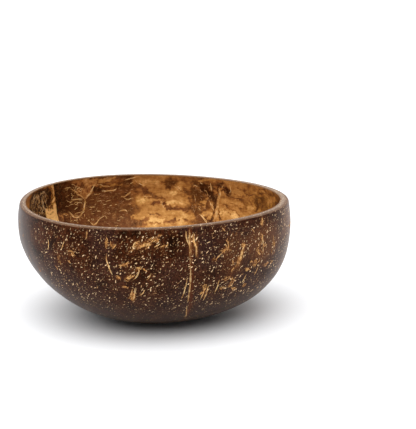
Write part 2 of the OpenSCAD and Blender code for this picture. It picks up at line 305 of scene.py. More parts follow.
@dataclass(frozen=True)
class Mark:
    """A line, or a filled outline, painted on a wall with a soft edge. Places are azimuths and heights."""

    tone: float
    half_width: float
    route: tuple[tuple[float, float], ...]
    red: float = 0.5
    filled: bool = False

    def share(self, az: np.ndarray, z: np.ndarray, softness: float) -> np.ndarray:
        """How much of the mark each place gets.

        Args:
            az: Azimuths.
            z: Heights.
            softness: Width of the soft edge, as a share of the half width.

        Returns:
            0 outside, 1 inside.
        """
        start = self.route[0][0]
        spot = np.stack([turn_from(az, start) * MM_PER_DEGREE, z], axis=-1)
        corners = np.array([((a - start) * MM_PER_DEGREE, h) for a, h in self.route])
        ends = np.roll(corners, -1, axis=0)
        if not self.filled:
            corners, ends = corners[:-1], ends[:-1]
        distance = np.full(len(spot), np.inf)
        crossings = np.zeros(len(spot), int)
        for a, b in zip(corners, ends):
            way = b - a
            along = np.clip((spot - a) @ way / max(way @ way, TINY), 0, 1)
            distance = np.minimum(distance, np.linalg.norm(spot - a - along[:, None] * way, axis=1))
            between = (a[1] > spot[:, 1]) != (b[1] > spot[:, 1])
            level = np.where(between, (spot[:, 1] - a[1]) / (way[1] if abs(way[1]) > TINY else TINY), 0)
            crossings += between & (spot[:, 0] < a[0] + level * way[0])
        if self.filled:
            distance = np.where(crossings % 2 == 1, 0, distance)
        return smooth(1 + softness, 1 - softness, distance / self.half_width)


# Places on the inner wall beyond the fold line at the back left, from the rim's left end to the fold
BEYOND_MARKS = (
    Patch(174, 57.8, 12, 1.9, 6, 0.60, 0.7),
    Patch(173, 54.2, 9, 2.6, 19, 0.70, 0.4),
    Mark(0.60, 0.9, ((161, 59.4), (156, 59.6), (150, 59.4), (144, 59.2)), 0.5),
    # Dark field, which the pale threads cover
    Mark(0.0, 1.2, ((165.4, 56.4), (158, 58.4), (147.5, 57.6), (145, 54.5), (144.8, 48), (148.4, 46.2),
                    (149.4, 42), (157, 43.4), (165.4, 50)), 0.6, True),
    # Narrow gold band along the fold, with holes in it
    Mark(1.16, 1.1, ((143.4, 59.6), (142.4, 56), (142, 52), (141.6, 49), (141.2, 47)), 0.2),
    Mark(0.62, 0.5, ((144.2, 57), (143.6, 53.6), (143.4, 50.4)), 0.4),
    Mark(0.20, 0.5, ((142.6, 53.6), (142, 51.8)), 0.4),
    Mark(0.22, 0.45, ((143.2, 50.6), (142.8, 49.4)), 0.4),
    Mark(0.26, 0.45, ((141.6, 48.8), (141.2, 47.6)), 0.4),
    Mark(0.30, 0.4, ((143.6, 57.4), (142.8, 55.6)), 0.4),
    # Bright patch at its foot
    Patch(143.6, 36.6, 7, 5.6, 0, 0.6, 0.45),
    Mark(1.16, 0.9, ((147.6, 46.2), (148, 43.6), (147.4, 41.4), (146.4, 38.4), (143.2, 38.8), (141, 36.8),
                     (138.6, 37.6), (138.4, 41), (138.8, 44), (139.4, 47.6), (140.8, 47), (142.7, 45.2),
                     (145.6, 45.6)), 0.35, True),
    Mark(1.0, 0.35, ((146.6, 45.6), (146.4, 47.4)), 0.35),
    Mark(1.0, 0.35, ((144.6, 45.4), (144.2, 48.2)), 0.35),
    Mark(0.16, 0.3, ((145.4, 45.2), (145.2, 46.8)), 0.5),
    Mark(0.22, 0.3, ((143.2, 45.4), (143, 47)), 0.5),
    Mark(0.6, 0.5, ((146.8, 40.6), (145.2, 41.6), (144.6, 39.4)), 0.45),
    Mark(0.68, 0.4, ((140, 42.6), (141.2, 40.2), (140.4, 38.4)), 0.45),
    Mark(0.74, 0.35, ((146.6, 44.6), (144.4, 43.4), (142.4, 43.8)), 0.35),
    Mark(0.78, 0.3, ((145.6, 41.8), (143.2, 41.2), (141.2, 41.8)), 0.35),
)

# Places on the rest of the inner wall, in the order in which they are painted
INNER_MARKS = (
    # Dark band beside the fold line, streaked from top to bottom, with the mottled gold below it
    Mark(-0.12, 1.5, ((141.4, 60), (139.4, 54), (138.6, 49), (138.4, 44.4)), 1.0),
    Mark(-0.04, 1.2, ((138.6, 60), (137.4, 54), (137, 49), (137, 45)), 1.0),
    Mark(0.26, 0.4, ((138.8, 59), (138, 54), (137.2, 49), (137.2, 45)), 0.6),
    Mark(0.22, 0.35, ((136.4, 58), (135.6, 53), (135.2, 49)), 0.5),
    Patch(137.6, 39.8, 3.4, 2.4, 0, 0.34, 0.9),
    Mark(0.72, 0.45, ((138, 41.2), (137, 40), (136.8, 38.8)), 0.5),
    Mark(0.68, 0.4, ((135, 41.4), (133.8, 40.6), (134, 39.2)), 0.5),
    Mark(0.66, 0.45, ((132.6, 39.2), (131.4, 38.2), (131.6, 36.8)), 0.7),
    Mark(0.20, 0.5, ((136, 41.6), (135.6, 38.4)), 0.6),
    Mark(0.20, 0.45, ((133, 41), (132.6, 37.4)), 0.6),
    # Orange field with the branching vein
    Mark(0.60, 0.7, ((126.4, 58.8), (122.8, 59), (117, 58), (117.4, 54.4), (119.8, 50.6), (121.8, 48.2),
                     (123.4, 50.6), (125.8, 53.2), (126.6, 56)), 0.85, True),
    Mark(0.84, 0.7, ((123.8, 58.6), (120.6, 58.2), (117.2, 58.4)), 0.8),
    Mark(0.80, 0.5, ((122.6, 56.2), (120.8, 56.6), (119.2, 55.4), (120.2, 53.6)), 0.75),
    Mark(0.82, 0.6, ((122.8, 52.8), (121.8, 50.8), (121, 49.8)), 0.7),
    Mark(0.32, 0.35, ((126, 56.4), (124.8, 54.6), (124.4, 52.6)), 0.8),
    Mark(0.34, 0.3, ((122, 54.8), (121, 53.2), (120.4, 51.6)), 0.8),
    Mark(0.40, 0.3, ((119.6, 57.4), (118.2, 56), (118.4, 54.6)), 0.8),
    Mark(0.36, 0.4, ((124.6, 57.6), (123.4, 55.8), (123.8, 54)), 0.8),
    Patch(128.2, 58.6, 4.4, 1.1, 0, 0.58, 0.75),
    Patch(132.6, 57.6, 2.6, 1.6, 0, 0.34, 0.6),
    Patch(131, 51.4, 3.4, 3.2, 0, 0.17, 0.5),
    Patch(127, 45.4, 5.6, 2.4, 0, 0.26, 0.6),
    Patch(121.2, 44.6, 2.2, 2.8, 0, 0.22, 0.8),
    Patch(127.5, 37, 10.5, 3.6, 0, 0.31, 1.0),
    Mark(0.10, 1.0, ((117.6, 53.2), (115.4, 52.2), (113.2, 52.6)), 0.5),
    # Gold below the rim, left of the middle, in level streaks
    Patch(109, 57, 8, 1.9, 0, 0.52, 0.55),
    Mark(0.74, 0.8, ((123, 59.3), (119.6, 58.4), (116.4, 58.4)), 0.65),
    Mark(0.74, 0.9, ((114.8, 57.6), (111.4, 57.4), (108.8, 58.2)), 0.5),
    Mark(0.80, 0.4, ((113.4, 56.8), (110, 57.2), (107, 58.8)), 0.45),
    Mark(0.44, 0.4, ((116.4, 55.8), (111.8, 55.8), (107.6, 56.4)), 0.6),
    Mark(0.60, 0.55, ((114.4, 53.8), (110.6, 53.8), (107, 54.2)), 0.4),
    Mark(0.66, 0.5, ((109, 54.6), (106, 54.6), (104.2, 54.2)), 0.3),
    Mark(0.46, 0.5, ((112, 52.6), (109, 52.4), (105, 52.6)), 0.6),
    Patch(100.4, 56.8, 4.2, 2.4, 0, 0.28, 0.5),
    Mark(0.50, 0.4, ((105.4, 57.8), (102.6, 57.2)), 0.7),
    Patch(105, 50.4, 8.5, 1.6, 0, 0.40, 0.8),
    Patch(110.5, 43.5, 12, 6.5, 0, 0.32, 0.75),
    Patch(105, 33.4, 8, 4.4, 0, 0.30, 1.0),
    Patch(115, 33, 8, 4.4, 0, 0.31, 1.0),
    Patch(120, 36.4, 4, 3, 0, 0.30, 0.9),
    # Gold in the middle, below the rim
    Mark(0.66, 2.0, ((97, 57.4), (92, 57.8), (86.4, 57.4)), 0.55),
    Mark(0.80, 1.5, ((93.4, 55.4), (90.4, 55.4), (87.4, 56)), 0.5),
    Mark(0.58, 0.35, ((95.4, 58.6), (90, 58.8), (85, 58.4)), 0.6),
    Patch(97, 50.4, 3.0, 2.6, 0, 0.50, 0.6),
    Patch(85.2, 50.8, 4.8, 2.8, 0, 0.64, 0.45),
    Patch(73.4, 50.6, 4.6, 5.4, 0, 0.67, 0.45),
    Patch(90, 47.6, 4.4, 2.2, 0, 0.56, 0.5),
    Patch(94.4, 45, 3.1, 2.1, 0, 0.82, 0.3),
    Patch(82.6, 46.6, 3.2, 1.6, 0, 0.60, 0.6),
    # Smoky clouds in it
    Patch(80, 56.2, 4.6, 2.4, 0, 0.34, 0.3),
    Patch(81, 53.4, 2.4, 2.0, 30, 0.36, 0.35),
    Patch(73.4, 57.6, 4.6, 1.3, 0, 0.46, 0.45),
    Mark(0.34, 1.2, ((95, 53), (93, 51), (91.4, 49.2)), 0.8),
    Mark(0.36, 1.0, ((89.4, 43.2), (86.4, 44), (83.4, 43.8)), 0.9),
    Mark(0.36, 0.5, ((92.7, 48.8), (90.3, 48.9), (88.1, 47.2)), 0.6),
    Mark(0.38, 0.4, ((92.6, 46.8), (89.6, 46.4), (86, 46.6), (83, 45.6)), 0.6),
    Mark(0.40, 0.35, ((77.6, 54.8), (75.6, 52.8), (74.6, 50.8)), 0.5),
    Mark(0.78, 0.5, ((76.8, 54.6), (74.8, 52.6)), 0.5),
    Mark(0.93, 0.9, ((80.6, 49.4), (77.2, 49.5)), 0.4),
    Mark(0.92, 1.0, ((82.4, 43.9), (79.9, 44.5), (77, 44)), 0.45),
    Mark(0.76, 1.2, ((76, 44.4), (72.6, 44.2)), 0.5),
    # Big gold field, which ends in a point at the left
    Mark(0.74, 1.1, ((99.8, 35.8), (97, 36.6), (94, 38.2), (91.6, 39.8), (88.4, 40.8), (85, 39.8),
                     (82, 38.4), (77, 38.6), (73.4, 38.8), (70.6, 36.4), (73, 33.8), (70, 30.6), (80, 29),
                     (93.6, 29.6), (93.4, 33), (92, 35.2), (95.4, 35)), 0.45, True),
    Patch(89, 33.2, 5.6, 2.2, 0, 0.93, 0.4),
    Mark(0.62, 0.5, ((92.4, 33.8), (90.6, 32.6), (88.6, 33.2), (86.8, 32.4)), 0.6),
    Mark(0.6, 0.5, ((76.6, 37.4), (74.8, 36.2), (74.6, 34.4), (72.6, 33.8)), 0.6),
    Patch(73.7, 35.8, 3.8, 3.2, 0, 0.82, 0.45),
    Patch(79.4, 38.2, 6.0, 1.3, 0, 0.8, 0.45),
    Patch(85.4, 36.4, 2.6, 1.0, 15, 0.6, 0.6),
    # Dark bar above it, with its hook
    Mark(0.36, 0.75, ((83.8, 43.6), (83.2, 41.8), (81, 40.5), (77, 40.7), (73.6, 40.7), (69.4, 40.9),
                      (73.8, 41), (77.1, 41.1), (80.4, 41.2), (82, 42.4)), 0.8, True),
    Mark(0.82, 0.35, ((84.6, 44.2), (84.4, 42.4), (83.4, 40.6)), 0.6),
    # Brown patches and short cracks on the gold
    Mark(0.44, 0.9, ((96, 34.2), (93.8, 34.3), (92, 34.4)), 0.8),
    Mark(0.44, 0.9, ((83.8, 33.5), (80.5, 33.9), (77.4, 34.4)), 0.8),
    Patch(77.6, 35, 0.8, 0.7, 0, 0.2, 0.7),
    Mark(0.36, 0.32, ((91.2, 37.2), (89.8, 36.6), (88.6, 36.4)), 0.7),
    Mark(0.40, 0.32, ((88, 38.3), (86.4, 37.3), (85, 36.9)), 0.7),
    Mark(0.70, 0.35, ((92, 39.8), (89.6, 39.4), (86.4, 39.6)), 0.6),
    Mark(0.50, 0.5, ((80.6, 32.4), (77.8, 32)), 0.8),
    Mark(0.48, 0.5, ((97.6, 33.2), (95.6, 32.6), (94.4, 31)), 0.8),
    # Dark column with the gold in it
    Patch(65.8, 56.4, 3.8, 2.8, 8, 0.31, 0.3),
    Patch(67.6, 51.4, 4.2, 3.0, -25, 0.33, 0.3),
    Patch(65.6, 46.4, 3.6, 3.4, 20, 0.3, 0.3),
    Patch(68, 41.6, 3.6, 2.6, 15, 0.34, 0.4),
    Patch(65.4, 37.4, 4.4, 3.2, 0, 0.35, 0.5),
    Patch(71.4, 47.6, 2.4, 1.3, 25, 0.64, 0.4),
    Patch(71.6, 54.4, 2.0, 1.2, -20, 0.6, 0.4),
    Mark(0.44, 1.0, ((73.4, 53), (71, 50.6), (70.4, 45.4)), 0.5),
    Patch(69.6, 36.8, 2.8, 1.3, 12, 0.74, 0.4),
    Patch(70.6, 32.6, 2.4, 1.5, -15, 0.72, 0.4),
    Patch(71.8, 39.0, 1.6, 0.8, 0, 0.36, 0.5),
    Patch(72.6, 34.8, 1.8, 0.8, 10, 0.4, 0.5),
    Mark(0.46, 0.5, ((68.6, 53.6), (66.6, 54.6), (65.4, 52.8), (66.8, 51.4)), 0.5),
    Mark(0.44, 0.4, ((68.4, 47), (67.4, 44.4), (67.8, 42)), 0.4),
    Mark(0.11, 1.6, ((63.4, 52.4), (60.6, 52), (58.2, 50.6), (57.6, 47.6)), 0.4),
    Mark(0.15, 0.9, ((63.6, 55.6), (61.6, 55), (57, 54.6)), 0.4),
    Mark(0.70, 0.8, ((64.4, 57.8), (60, 58.6), (56, 58.8)), 0.4),
    Mark(0.36, 0.5, ((66.6, 57), (63.4, 56.6)), 0.4),
    Mark(0.72, 0.75, ((64.4, 45.4), (62.8, 46.2), (62, 44.2), (63, 42.6)), 0.4),
    Mark(0.72, 0.35, ((61.9, 45.8), (61, 47), (60.1, 48.2)), 0.4),
    Mark(0.62, 0.35, ((65.8, 43.4), (64.6, 41.4), (63.2, 40.6)), 0.5),
    Mark(0.84, 1.2, ((62, 39.2), (59.8, 39.8), (58, 39), (59.6, 37.6)), 0.45),
    Mark(0.24, 0.7, ((57.4, 46.6), (56.8, 43.4)), 0.4),
    Mark(0.34, 1.0, ((65.4, 37.2), (63, 34.6)), 0.9),
    # Shadow at the left of the stem on the right
    Mark(0.2, 0.55, ((55.8, 54), (54.9, 51.6), (56.2, 47.8), (57, 43.4), (58, 39), (59.2, 35)), 0.5),
    # Golden brown swirls on the right, and the olive end
    Patch(32, 50, 12, 8, 0, 0.58, 0.25),
    Patch(14, 54, 8, 5, 0, 0.46, 0.05),
    Patch(23, 50.6, 8, 5.6, 0, 0.5, 0.05),
    Mark(0.56, 1.5, ((52.6, 50.2), (47.4, 50.2), (42.6, 51), (38.6, 50.4)), 0.45),
    Mark(0.16, 0.9, ((53.8, 56), (51.4, 55.4), (49, 54), (49.6, 52.6), (51.4, 53)), 0.6),
    Mark(0.22, 0.5, ((54.8, 55), (53.4, 57), (51.2, 58)), 0.5),
    Mark(0.22, 0.45, ((48, 54.4), (47.4, 52.6), (48.6, 50.9), (50.2, 51.2)), 0.5),
    Mark(0.36, 0.5, ((47, 50.4), (44.4, 49.8), (41.8, 50)), 0.6),
    Mark(0.72, 1.6, ((53, 47.6), (48.6, 47.4), (44, 46.2), (40.6, 46.4)), 0.45),
    Mark(0.88, 2.0, ((52, 41), (49, 40.6), (46, 40), (43.6, 39)), 0.4),
    Mark(0.68, 1.6, ((40.4, 42.6), (37.4, 43.6), (35.4, 45.4)), 0.4),
    Mark(0.40, 0.38, ((52.6, 45.6), (50.2, 44.8), (47, 43.6), (44.2, 42.6), (42.6, 41), (42, 39.4)), 0.5),
    Mark(0.46, 0.32, ((48.2, 47), (45, 46.4), (42, 44.6), (39.8, 43.2)), 0.5),
    Mark(0.44, 0.4, ((45.2, 52.2), (41.4, 51.7), (38, 50.8), (35.6, 49), (34.6, 47.4)), 0.5),
    Mark(0.50, 0.3, ((51.8, 43), (49.6, 42.2), (47.4, 40.8)), 0.5),
    Mark(0.80, 0.35, ((37, 46.6), (35.6, 47.5), (34.4, 46.8), (35.2, 45.7), (36.6, 45.6)), 0.4),
    Mark(0.20, 0.45, ((54.4, 42.8), (53.9, 39.6), (53, 36.8)), 0.5),
    Mark(0.34, 0.45, ((38.8, 54.4), (37.2, 53), (34.2, 53.4)), 0.6),
    Mark(0.42, 0.4, ((43.6, 56), (40.4, 55.4), (37.4, 55.8)), 0.5),
    Mark(0.30, 1.5, ((31.8, 51), (29.8, 49), (30.6, 46.4)), 0.1),
    Mark(0.38, 0.9, ((32, 53.4), (28.4, 53), (25, 51.4)), 0.1),
    Mark(0.68, 0.8, ((27.6, 57.4), (24.4, 57.6)), 0.3),
    Mark(0.42, 0.4, ((29.6, 56.8), (26.4, 58.6), (22, 59), (23.2, 56.6), (28.2, 55.8)), 0.3),
    Mark(0.66, 1.3, ((21.6, 52.4), (18, 54), (14.4, 55.2)), 0.35),
    Mark(0.46, 0.6, ((25.8, 49), (28.2, 47.4)), 0.3),
    Mark(0.26, 0.7, ((15, 52.6), (10, 55.2), (6.4, 57.4), (4, 59)), 0.3),
    Mark(0.34, 0.5, ((19.4, 56.8), (15.6, 57.6), (12, 57.6)), 0.3),
    # Inside the front, which the camera doesn't see
    Patch(258.6, 35.4, 11, 4.8, 0, 0.82, 0.4),
    Patch(310.3, 46.8, 9.5, 3.2, 0, 0.78, 0.45),
    Patch(214.2, 39.6, 8.6, 3.2, 0, 0.8, 0.4),
    Patch(286, 48, 4, 9, 0, 0.2, 0.5),
    Mark(0.24, 0.8, ((246, 50), (243, 46), (244, 40), (241, 36)), 0.5),
    Mark(0.80, 0.7, ((238, 52), (232, 53), (226, 51.6)), 0.45),
    Mark(0.34, 0.5, ((270, 38), (264, 36.6), (257, 37)), 0.6),
    Mark(0.74, 0.9, ((296, 54), (304, 53), (311, 54.4)), 0.5),
    Mark(0.26, 0.6, ((322, 50), (330, 47), (333, 42)), 0.5),
    Mark(0.78, 1.2, ((330, 53), (338, 52), (345, 53.4)), 0.4),
    Mark(0.40, 0.45, ((340, 46), (347, 45), (353, 47)), 0.5),
)

# Ground tone of the inner wall at some azimuths, all round
GROUND_AZ = (
    0, 20, 45, 56, 61, 66.5, 72, 90, 95.5, 100, 118,
    123, 130, 137, 160, 200, 230, 262, 290, 320, 345, 360,
)
GROUND_TONE = (
    0.52, 0.60, 0.66, 0.58, 0.38, 0.33, 0.66, 0.70, 0.52, 0.32, 0.31,
    0.38, 0.23, 0.12, 0.34, 0.46, 0.60, 0.66, 0.40, 0.60, 0.46, 0.52,
)
# Tone of the field beyond the fold line, and where that field lies
BEYOND_FROM, BEYOND_TO = 130, 200
BEYOND_AZ = (137, 146, 150, 163, 168, 182, 200)
BEYOND_TONE = (0.55, 0.32, 0.12, 0.10, 0.78, 0.62, 0.46)

# The fold line: azimuths at some heights
FOLD_Z = (0.0, 20.0, 39.0, 43.0, 46.6, 49.5, 52.6, 55.5, 60.0)
FOLD_AZ = (139.0, 139.2, 139.5, 139.7, 139.5, 139.7, 140.3, 141.0, 142.6)

# Golden smears of husk that the scraping left on the outer wall. Here tone is how thick they lie.
SMEARS = tuple(Patch(*row) for row in (
    (-95, 52.6, 1.4, 2.2, 20, 0.85), (-91.8, 53.6, 3.0, 0.9, 24, 0.85), (-88.6, 55.2, 2.2, 0.8, 24, 0.8),
    (-86.2, 56.8, 1.0, 0.8, 30, 0.9), (-84.4, 51.2, 1.6, 0.7, 30, 0.8), (-107, 52.6, 0.8, 2.2, 0, 0.8),
    (-104.8, 52.6, 1.3, 1.2, 40, 0.6), (-100.6, 42.4, 2.6, 0.9, 6, 0.75), (-103.4, 35.7, 1.5, 0.9, 20, 0.8),
    (-99.4, 36.2, 2.4, 1.0, 26, 0.8), (-102.4, 31, 1.5, 0.9, 0, 0.6), (-95.8, 40.2, 1.4, 1.0, 40, 0.7),
    (-92.8, 40.4, 1.0, 1.0, 0, 0.5), (-99.6, 25.4, 1.1, 3.4, -14, 1.0), (-101.4, 24.6, 1.6, 0.6, 0, 0.7),
    (-123.6, 48, 1.6, 2.6, 0, 0.45), (-128.6, 43, 0.9, 3.0, 0, 0.5), (-122, 45.8, 1.9, 0.8, 30, 0.7),
    (-113, 40, 1.2, 1.2, 0, 0.4), (-115, 57.4, 0.6, 1.6, 0, 0.7), (-58, 57, 1.5, 0.7, -45, 1.0),
    (-54.2, 54, 1.2, 0.6, -50, 0.9), (-51.6, 53.4, 1.1, 0.5, -50, 0.9), (-49.6, 52.4, 1.1, 0.5, -50, 0.8),
    (-50.4, 56, 0.6, 2.2, 0, 0.5), (-57.2, 46.8, 1.7, 1.3, 20, 0.9), (-56, 49, 0.6, 1.7, 0, 0.8),
    (-48, 46.9, 1.5, 1.3, 0, 1.0), (-48.4, 43.6, 0.9, 1.7, -16, 0.8), (-50, 40, 1.4, 3.4, -22, 1.0),
    (-51.4, 36.4, 2.0, 0.6, 16, 0.8), (-54, 40, 1.0, 1.5, 0, 0.45), (-36.4, 56.4, 1.8, 1.5, 0, 0.9),
    (-36.6, 49, 1.0, 1.2, 0, 0.7), (-36.4, 46, 0.8, 1.2, 0, 0.7), (-38.6, 42.6, 1.0, 2.0, 0, 0.7),
    (-37.2, 41, 1.8, 0.8, 0, 0.9), (-44, 34, 2.2, 1.2, 0, 0.7), (-41, 36.4, 2.2, 2.4, -20, 0.6),
    (-33, 33.2, 2.2, 0.9, 0, 0.7), (-27.6, 38.5, 2.2, 0.8, 0, 0.7), (-27.6, 33, 1.7, 0.9, 0, 0.6),
    (-55, 31.4, 1.8, 0.5, 20, 0.8), (-52.6, 29.2, 0.8, 2.2, -20, 0.8), (-50.4, 24.4, 2.0, 0.9, 10, 0.75),
    (-57.6, 25.8, 1.9, 0.5, 0, 0.8), (-44.4, 25.2, 1.1, 1.1, 0, 0.7), (-63.6, 42.4, 0.9, 1.4, -30, 0.7),
    (-67.6, 24.8, 0.9, 4.4, -8, 0.7), (-73.4, 15, 2.6, 7, 0, 0.28), (-81, 57.4, 1.6, 0.5, 20, 0.5),
    (-71.2, 50.6, 0.9, 6.2, 0, 0.9), (-73.8, 50, 1.0, 9, 0, 0.8), (-75.6, 54, 0.6, 4, 0, 0.6),
    # Brown haze of husk on the right of the front
    (-35, 46, 16, 11, 0, 0.58), (-52, 44, 10, 12, 0, 0.46), (-92, 53, 9, 5, 15, 0.26),
    # Sides and back
    (-14, 50, 9, 8, 0, 0.5), (-8, 48, 2.4, 1.2, 30, 0.8), (4, 36, 2.8, 1.1, 25, 0.7),
    (15, 50, 1.4, 2.6, -12, 0.9), (24, 31, 2.6, 1.0, 20, 0.7), (34, 46, 3.0, 1.2, 28, 0.9),
    (41, 27, 1.8, 0.9, 0, 0.7), (50, 52, 1.5, 1.5, 0, 0.8), (60.6, 50, 1.1, 9, 0, 0.8),
    (63, 46, 0.8, 4, 0, 0.7), (70, 40, 2.2, 1.1, 20, 0.7), (82, 49, 1.3, 3.0, -15, 0.9),
    (90, 33, 2.6, 1.0, 22, 0.8), (101, 44, 2.8, 1.3, 30, 0.9), (112, 53, 1.6, 1.2, 0, 0.7),
    (121, 36, 2.0, 1.1, 20, 0.8), (131, 47, 1.2, 2.6, -10, 0.8), (140.6, 48, 1.2, 10, 0, 0.8),
    (143.6, 39, 0.9, 5, 0, 0.7), (151, 30, 2.4, 1.0, 20, 0.7), (158, 50, 2.4, 1.2, 26, 0.8),
    (170, 38, 1.4, 2.8, -12, 0.8), (181, 52, 2.0, 1.0, 20, 0.7), (192, 34, 2.6, 1.1, 24, 0.6),
    (203, 46, 1.2, 2.4, -10, 0.45),
))


@dataclass(frozen=True)
class WallPaint:
    """Writes what the finishes read: how light each place is, where husk lies and how the grain runs."""

    shape: WallShape
    unseen_tone: float = 0.52
    patch_softness: float = 0.55
    mark_softness: float = 0.6
    # Azimuths: two places at the sides that a painted sheen veils, two with many fibre ends,
    # the middle of a painted sheen at the right edge, and the front's middle, where the rim has painted
    # shade
    sheen_left: float = -161.0
    sheen_right: float = -5.0
    rich_front: float = -40.0
    rich_edge: float = -10.0
    rubbed_az: float = 2.0
    front_az: float = -95.0
    # Streaks: their lean and length outside, their radius inside, and what changes them low down
    streak_lean: float = 0.55
    streak_length: float = 3.2
    streak_r: float = 15.0
    low_z: float = 30.0
    low_pull: float = 0.8

    def inner_tone(self, az: np.ndarray, z: np.ndarray, beyond: bool) -> tuple[np.ndarray, np.ndarray]:
        """Paints the inner wall.

        Args:
            az: Azimuths.
            z: Heights.
            beyond: True for the field beyond the fold line.

        Returns:
            Tone from 0, nearly black, to 1, bright gold, and how red it is from 0 to 1.
        """
        points = self.shape.on_wall(az, z, Side.INNER)
        ground_az = strayed(az, points, (1.6, 10.0, 37), (1.0, 4.0, 38))
        tone = np.interp(ground_az % FULL_TURN, GROUND_AZ, GROUND_TONE)
        red = np.full_like(az, 0.5)
        marks = INNER_MARKS
        if beyond:
            here = (az % FULL_TURN > BEYOND_FROM) & (az % FULL_TURN < BEYOND_TO)
            tone = np.where(here, np.interp(az % FULL_TURN, BEYOND_AZ, BEYOND_TONE), tone)
            marks = BEYOND_MARKS
        # Nobody sees the depth of the bowl in the photograph. It is calmer there.
        deep = smooth(30, 16, z)
        cloud = strayed(0.0, points, (0.6, 26.0, 9), (0.6, 13.0, 43))
        tone = tone + (self.unseen_tone + 0.2 * cloud - tone) * deep
        # Borders of grown skin are ragged, so the places are bent by waves before they are painted
        bent_az = strayed(az, points, (0.5, 6.0, 31), (0.5, 2.4, 32), (0.3, 1.3, 35))
        bent_z = strayed(z, points, (0.3, 6.0, 33), (0.3, 2.4, 34), (0.2, 1.3, 36))
        for mark in marks:
            share = mark.share(bent_az, bent_z, self.mark_softness)
            tone = tone + (mark.tone - tone) * share
            red = red + (mark.red - red) * share
        return tone, red

    def dress(self, mesh: bpy.types.Mesh, lighter: float = 0.0) -> None:
        """Writes the attributes on a mesh whose vertices hold az, height and inside.

        Args:
            mesh: The mesh, in its final place.
            lighter: Added to the inner tone.
        """
        az = read(mesh, "az")
        z = read(mesh, "height")
        inside = read(mesh, "inside")
        here, red_here = self.inner_tone(az, z, False)
        far, red_far = self.inner_tone(az, z, True)
        past = smooth(184, BEYOND_TO, az % FULL_TURN)
        past = np.where(turn_from(az, 150.0) < -60, 1.0, past)
        # The fold line fades out low down
        past = np.maximum(past, smooth(38, 26, z))
        write(mesh, "tone", here + lighter)
        write(mesh, "tone_beyond", far + (here - far) * past + lighter)
        write(mesh, "red", red_here)
        write(mesh, "red_beyond", red_far + (red_here - red_far) * past)
        fold_az = np.interp(z, FOLD_Z, FOLD_AZ)
        write(mesh, "fold_mm", turn_from(az, 0.0) - turn_from(fold_az, 0.0))
        smear = np.zeros_like(az)
        for patch in SMEARS:
            smear = np.maximum(smear, patch.tone * patch.share(az, z, self.patch_softness))
        write(mesh, "smear", smear * (1 - inside))
        # Fibre ends are fewer low on the wall and just under the rim, and fade at two places at the sides,
        # where a painted sheen veils them. Where they are few, the finish mixes in grey painted sheen.
        sheen_veil = np.maximum(0.85 * near(az, self.sheen_left, 25, 12), 0.1 * near(az, self.sheen_right, 18, 9))
        under_rim = 1 - 0.45 * smooth(56, 58.4, z)
        rich = 1 + 0.5 * near(az, self.rich_front, 50, 20) + 0.35 * near(az, self.rich_edge, 34, 12)
        write(mesh, "depth", (0.4 + 0.6 * smooth(10, 27, z)) * under_rim * rich * (1 - sheen_veil))
        # Painted sheen: the right edge paler, standing in for a grazing reflection. Painted shade: the rim a
        # little darker in front
        write(mesh, "rubbed", near(az, self.rubbed_az, 30, 8))
        write(mesh, "front", near(az, self.front_az, 95, 50))
        r = self.shape.radius(z, Side.OUTER)
        write(mesh, "groove", self.shape.furrow(az, r) / self.shape.furrow_depth * (1 - inside))
        turn = np.radians(az)
        around = np.stack([-np.sin(turn), np.cos(turn), 0 * turn], axis=-1)
        up = np.cross(vertex_rows(mesh, "normal"), around) * np.where(inside > 0.5, -1, 1)[:, None]
        write(mesh, "grain_around", around)
        write(mesh, "grain_up", up / np.maximum(np.linalg.norm(up, axis=-1, keepdims=True), 1e-6))
        # Coordinates in which a pattern is drawn out: along a leaning line outside, and all round inside
        out_r = self.shape.belly_r
        lean = turn - z / out_r * self.streak_lean
        outer = np.stack([out_r * np.cos(lean), out_r * np.sin(lean), z / self.streak_length], axis=-1)
        # Low down the way to the middle counts too, so that no spokes meet there
        side_r = self.shape.radius(np.full_like(z, self.low_z), Side.INNER)
        here_r = self.shape.radius(z, Side.INNER)
        in_r = np.minimum(self.streak_r, here_r)
        level = z - self.low_pull * np.where(z < self.low_z, side_r - here_r, 0.0)
        inner = np.stack([in_r * np.cos(turn), in_r * np.sin(turn), level], axis=-1)
        write(mesh, "streak", (outer + (inner - outer) * (inside > 0.5)[:, None]) * MM)


def read(mesh: bpy.types.Mesh, name: str) -> np.ndarray:
    """Reads a number of each vertex."""
    values = np.empty(len(mesh.vertices))
    mesh.attributes[name].data.foreach_get("value", values)
    return values


def write(mesh: bpy.types.Mesh, name: str, values: np.ndarray) -> None:
    """Writes a number or a vector of each vertex.

    Args:
        mesh: Where to.
        name: Name of the attribute.
        values: One number, or one row of three, for each vertex.
    """
    vector = values.ndim == 2
    kind = "FLOAT_VECTOR" if vector else "FLOAT"
    made = mesh.attributes.get(name) or mesh.attributes.new(name, kind, "POINT")
    made.data.foreach_set("vector" if vector else "value", values.astype(np.float32).ravel())


def vertex_rows(mesh: bpy.types.Mesh, name: str) -> np.ndarray:
    """Reads three numbers of each vertex, such as its place, one row for each."""
    flat = np.empty(len(mesh.vertices) * 3)
    mesh.vertices.foreach_get(name, flat)
    return flat.reshape(-1, 3)


def move_vertices(mesh: bpy.types.Mesh, points: np.ndarray) -> None:
    """Moves the vertices to points in millimetres."""
    mesh.vertices.foreach_set("co", (points * MM).astype(np.float32).ravel())
    mesh.update()


def mesh_of(bm: bmesh.types.BMesh, name: str) -> bpy.types.Mesh:
    """Turns an edited mesh into a mesh and frees it."""
    mesh = bpy.data.meshes.new(name)
    bm.to_mesh(mesh)
    bm.free()
    return mesh


def linked(name: str, data: bpy.types.ID) -> bpy.types.Object:
    """Makes an object and puts it in the scene."""
    made = bpy.data.objects.new(name, data)
    bpy.context.scene.collection.objects.link(made)
    return made


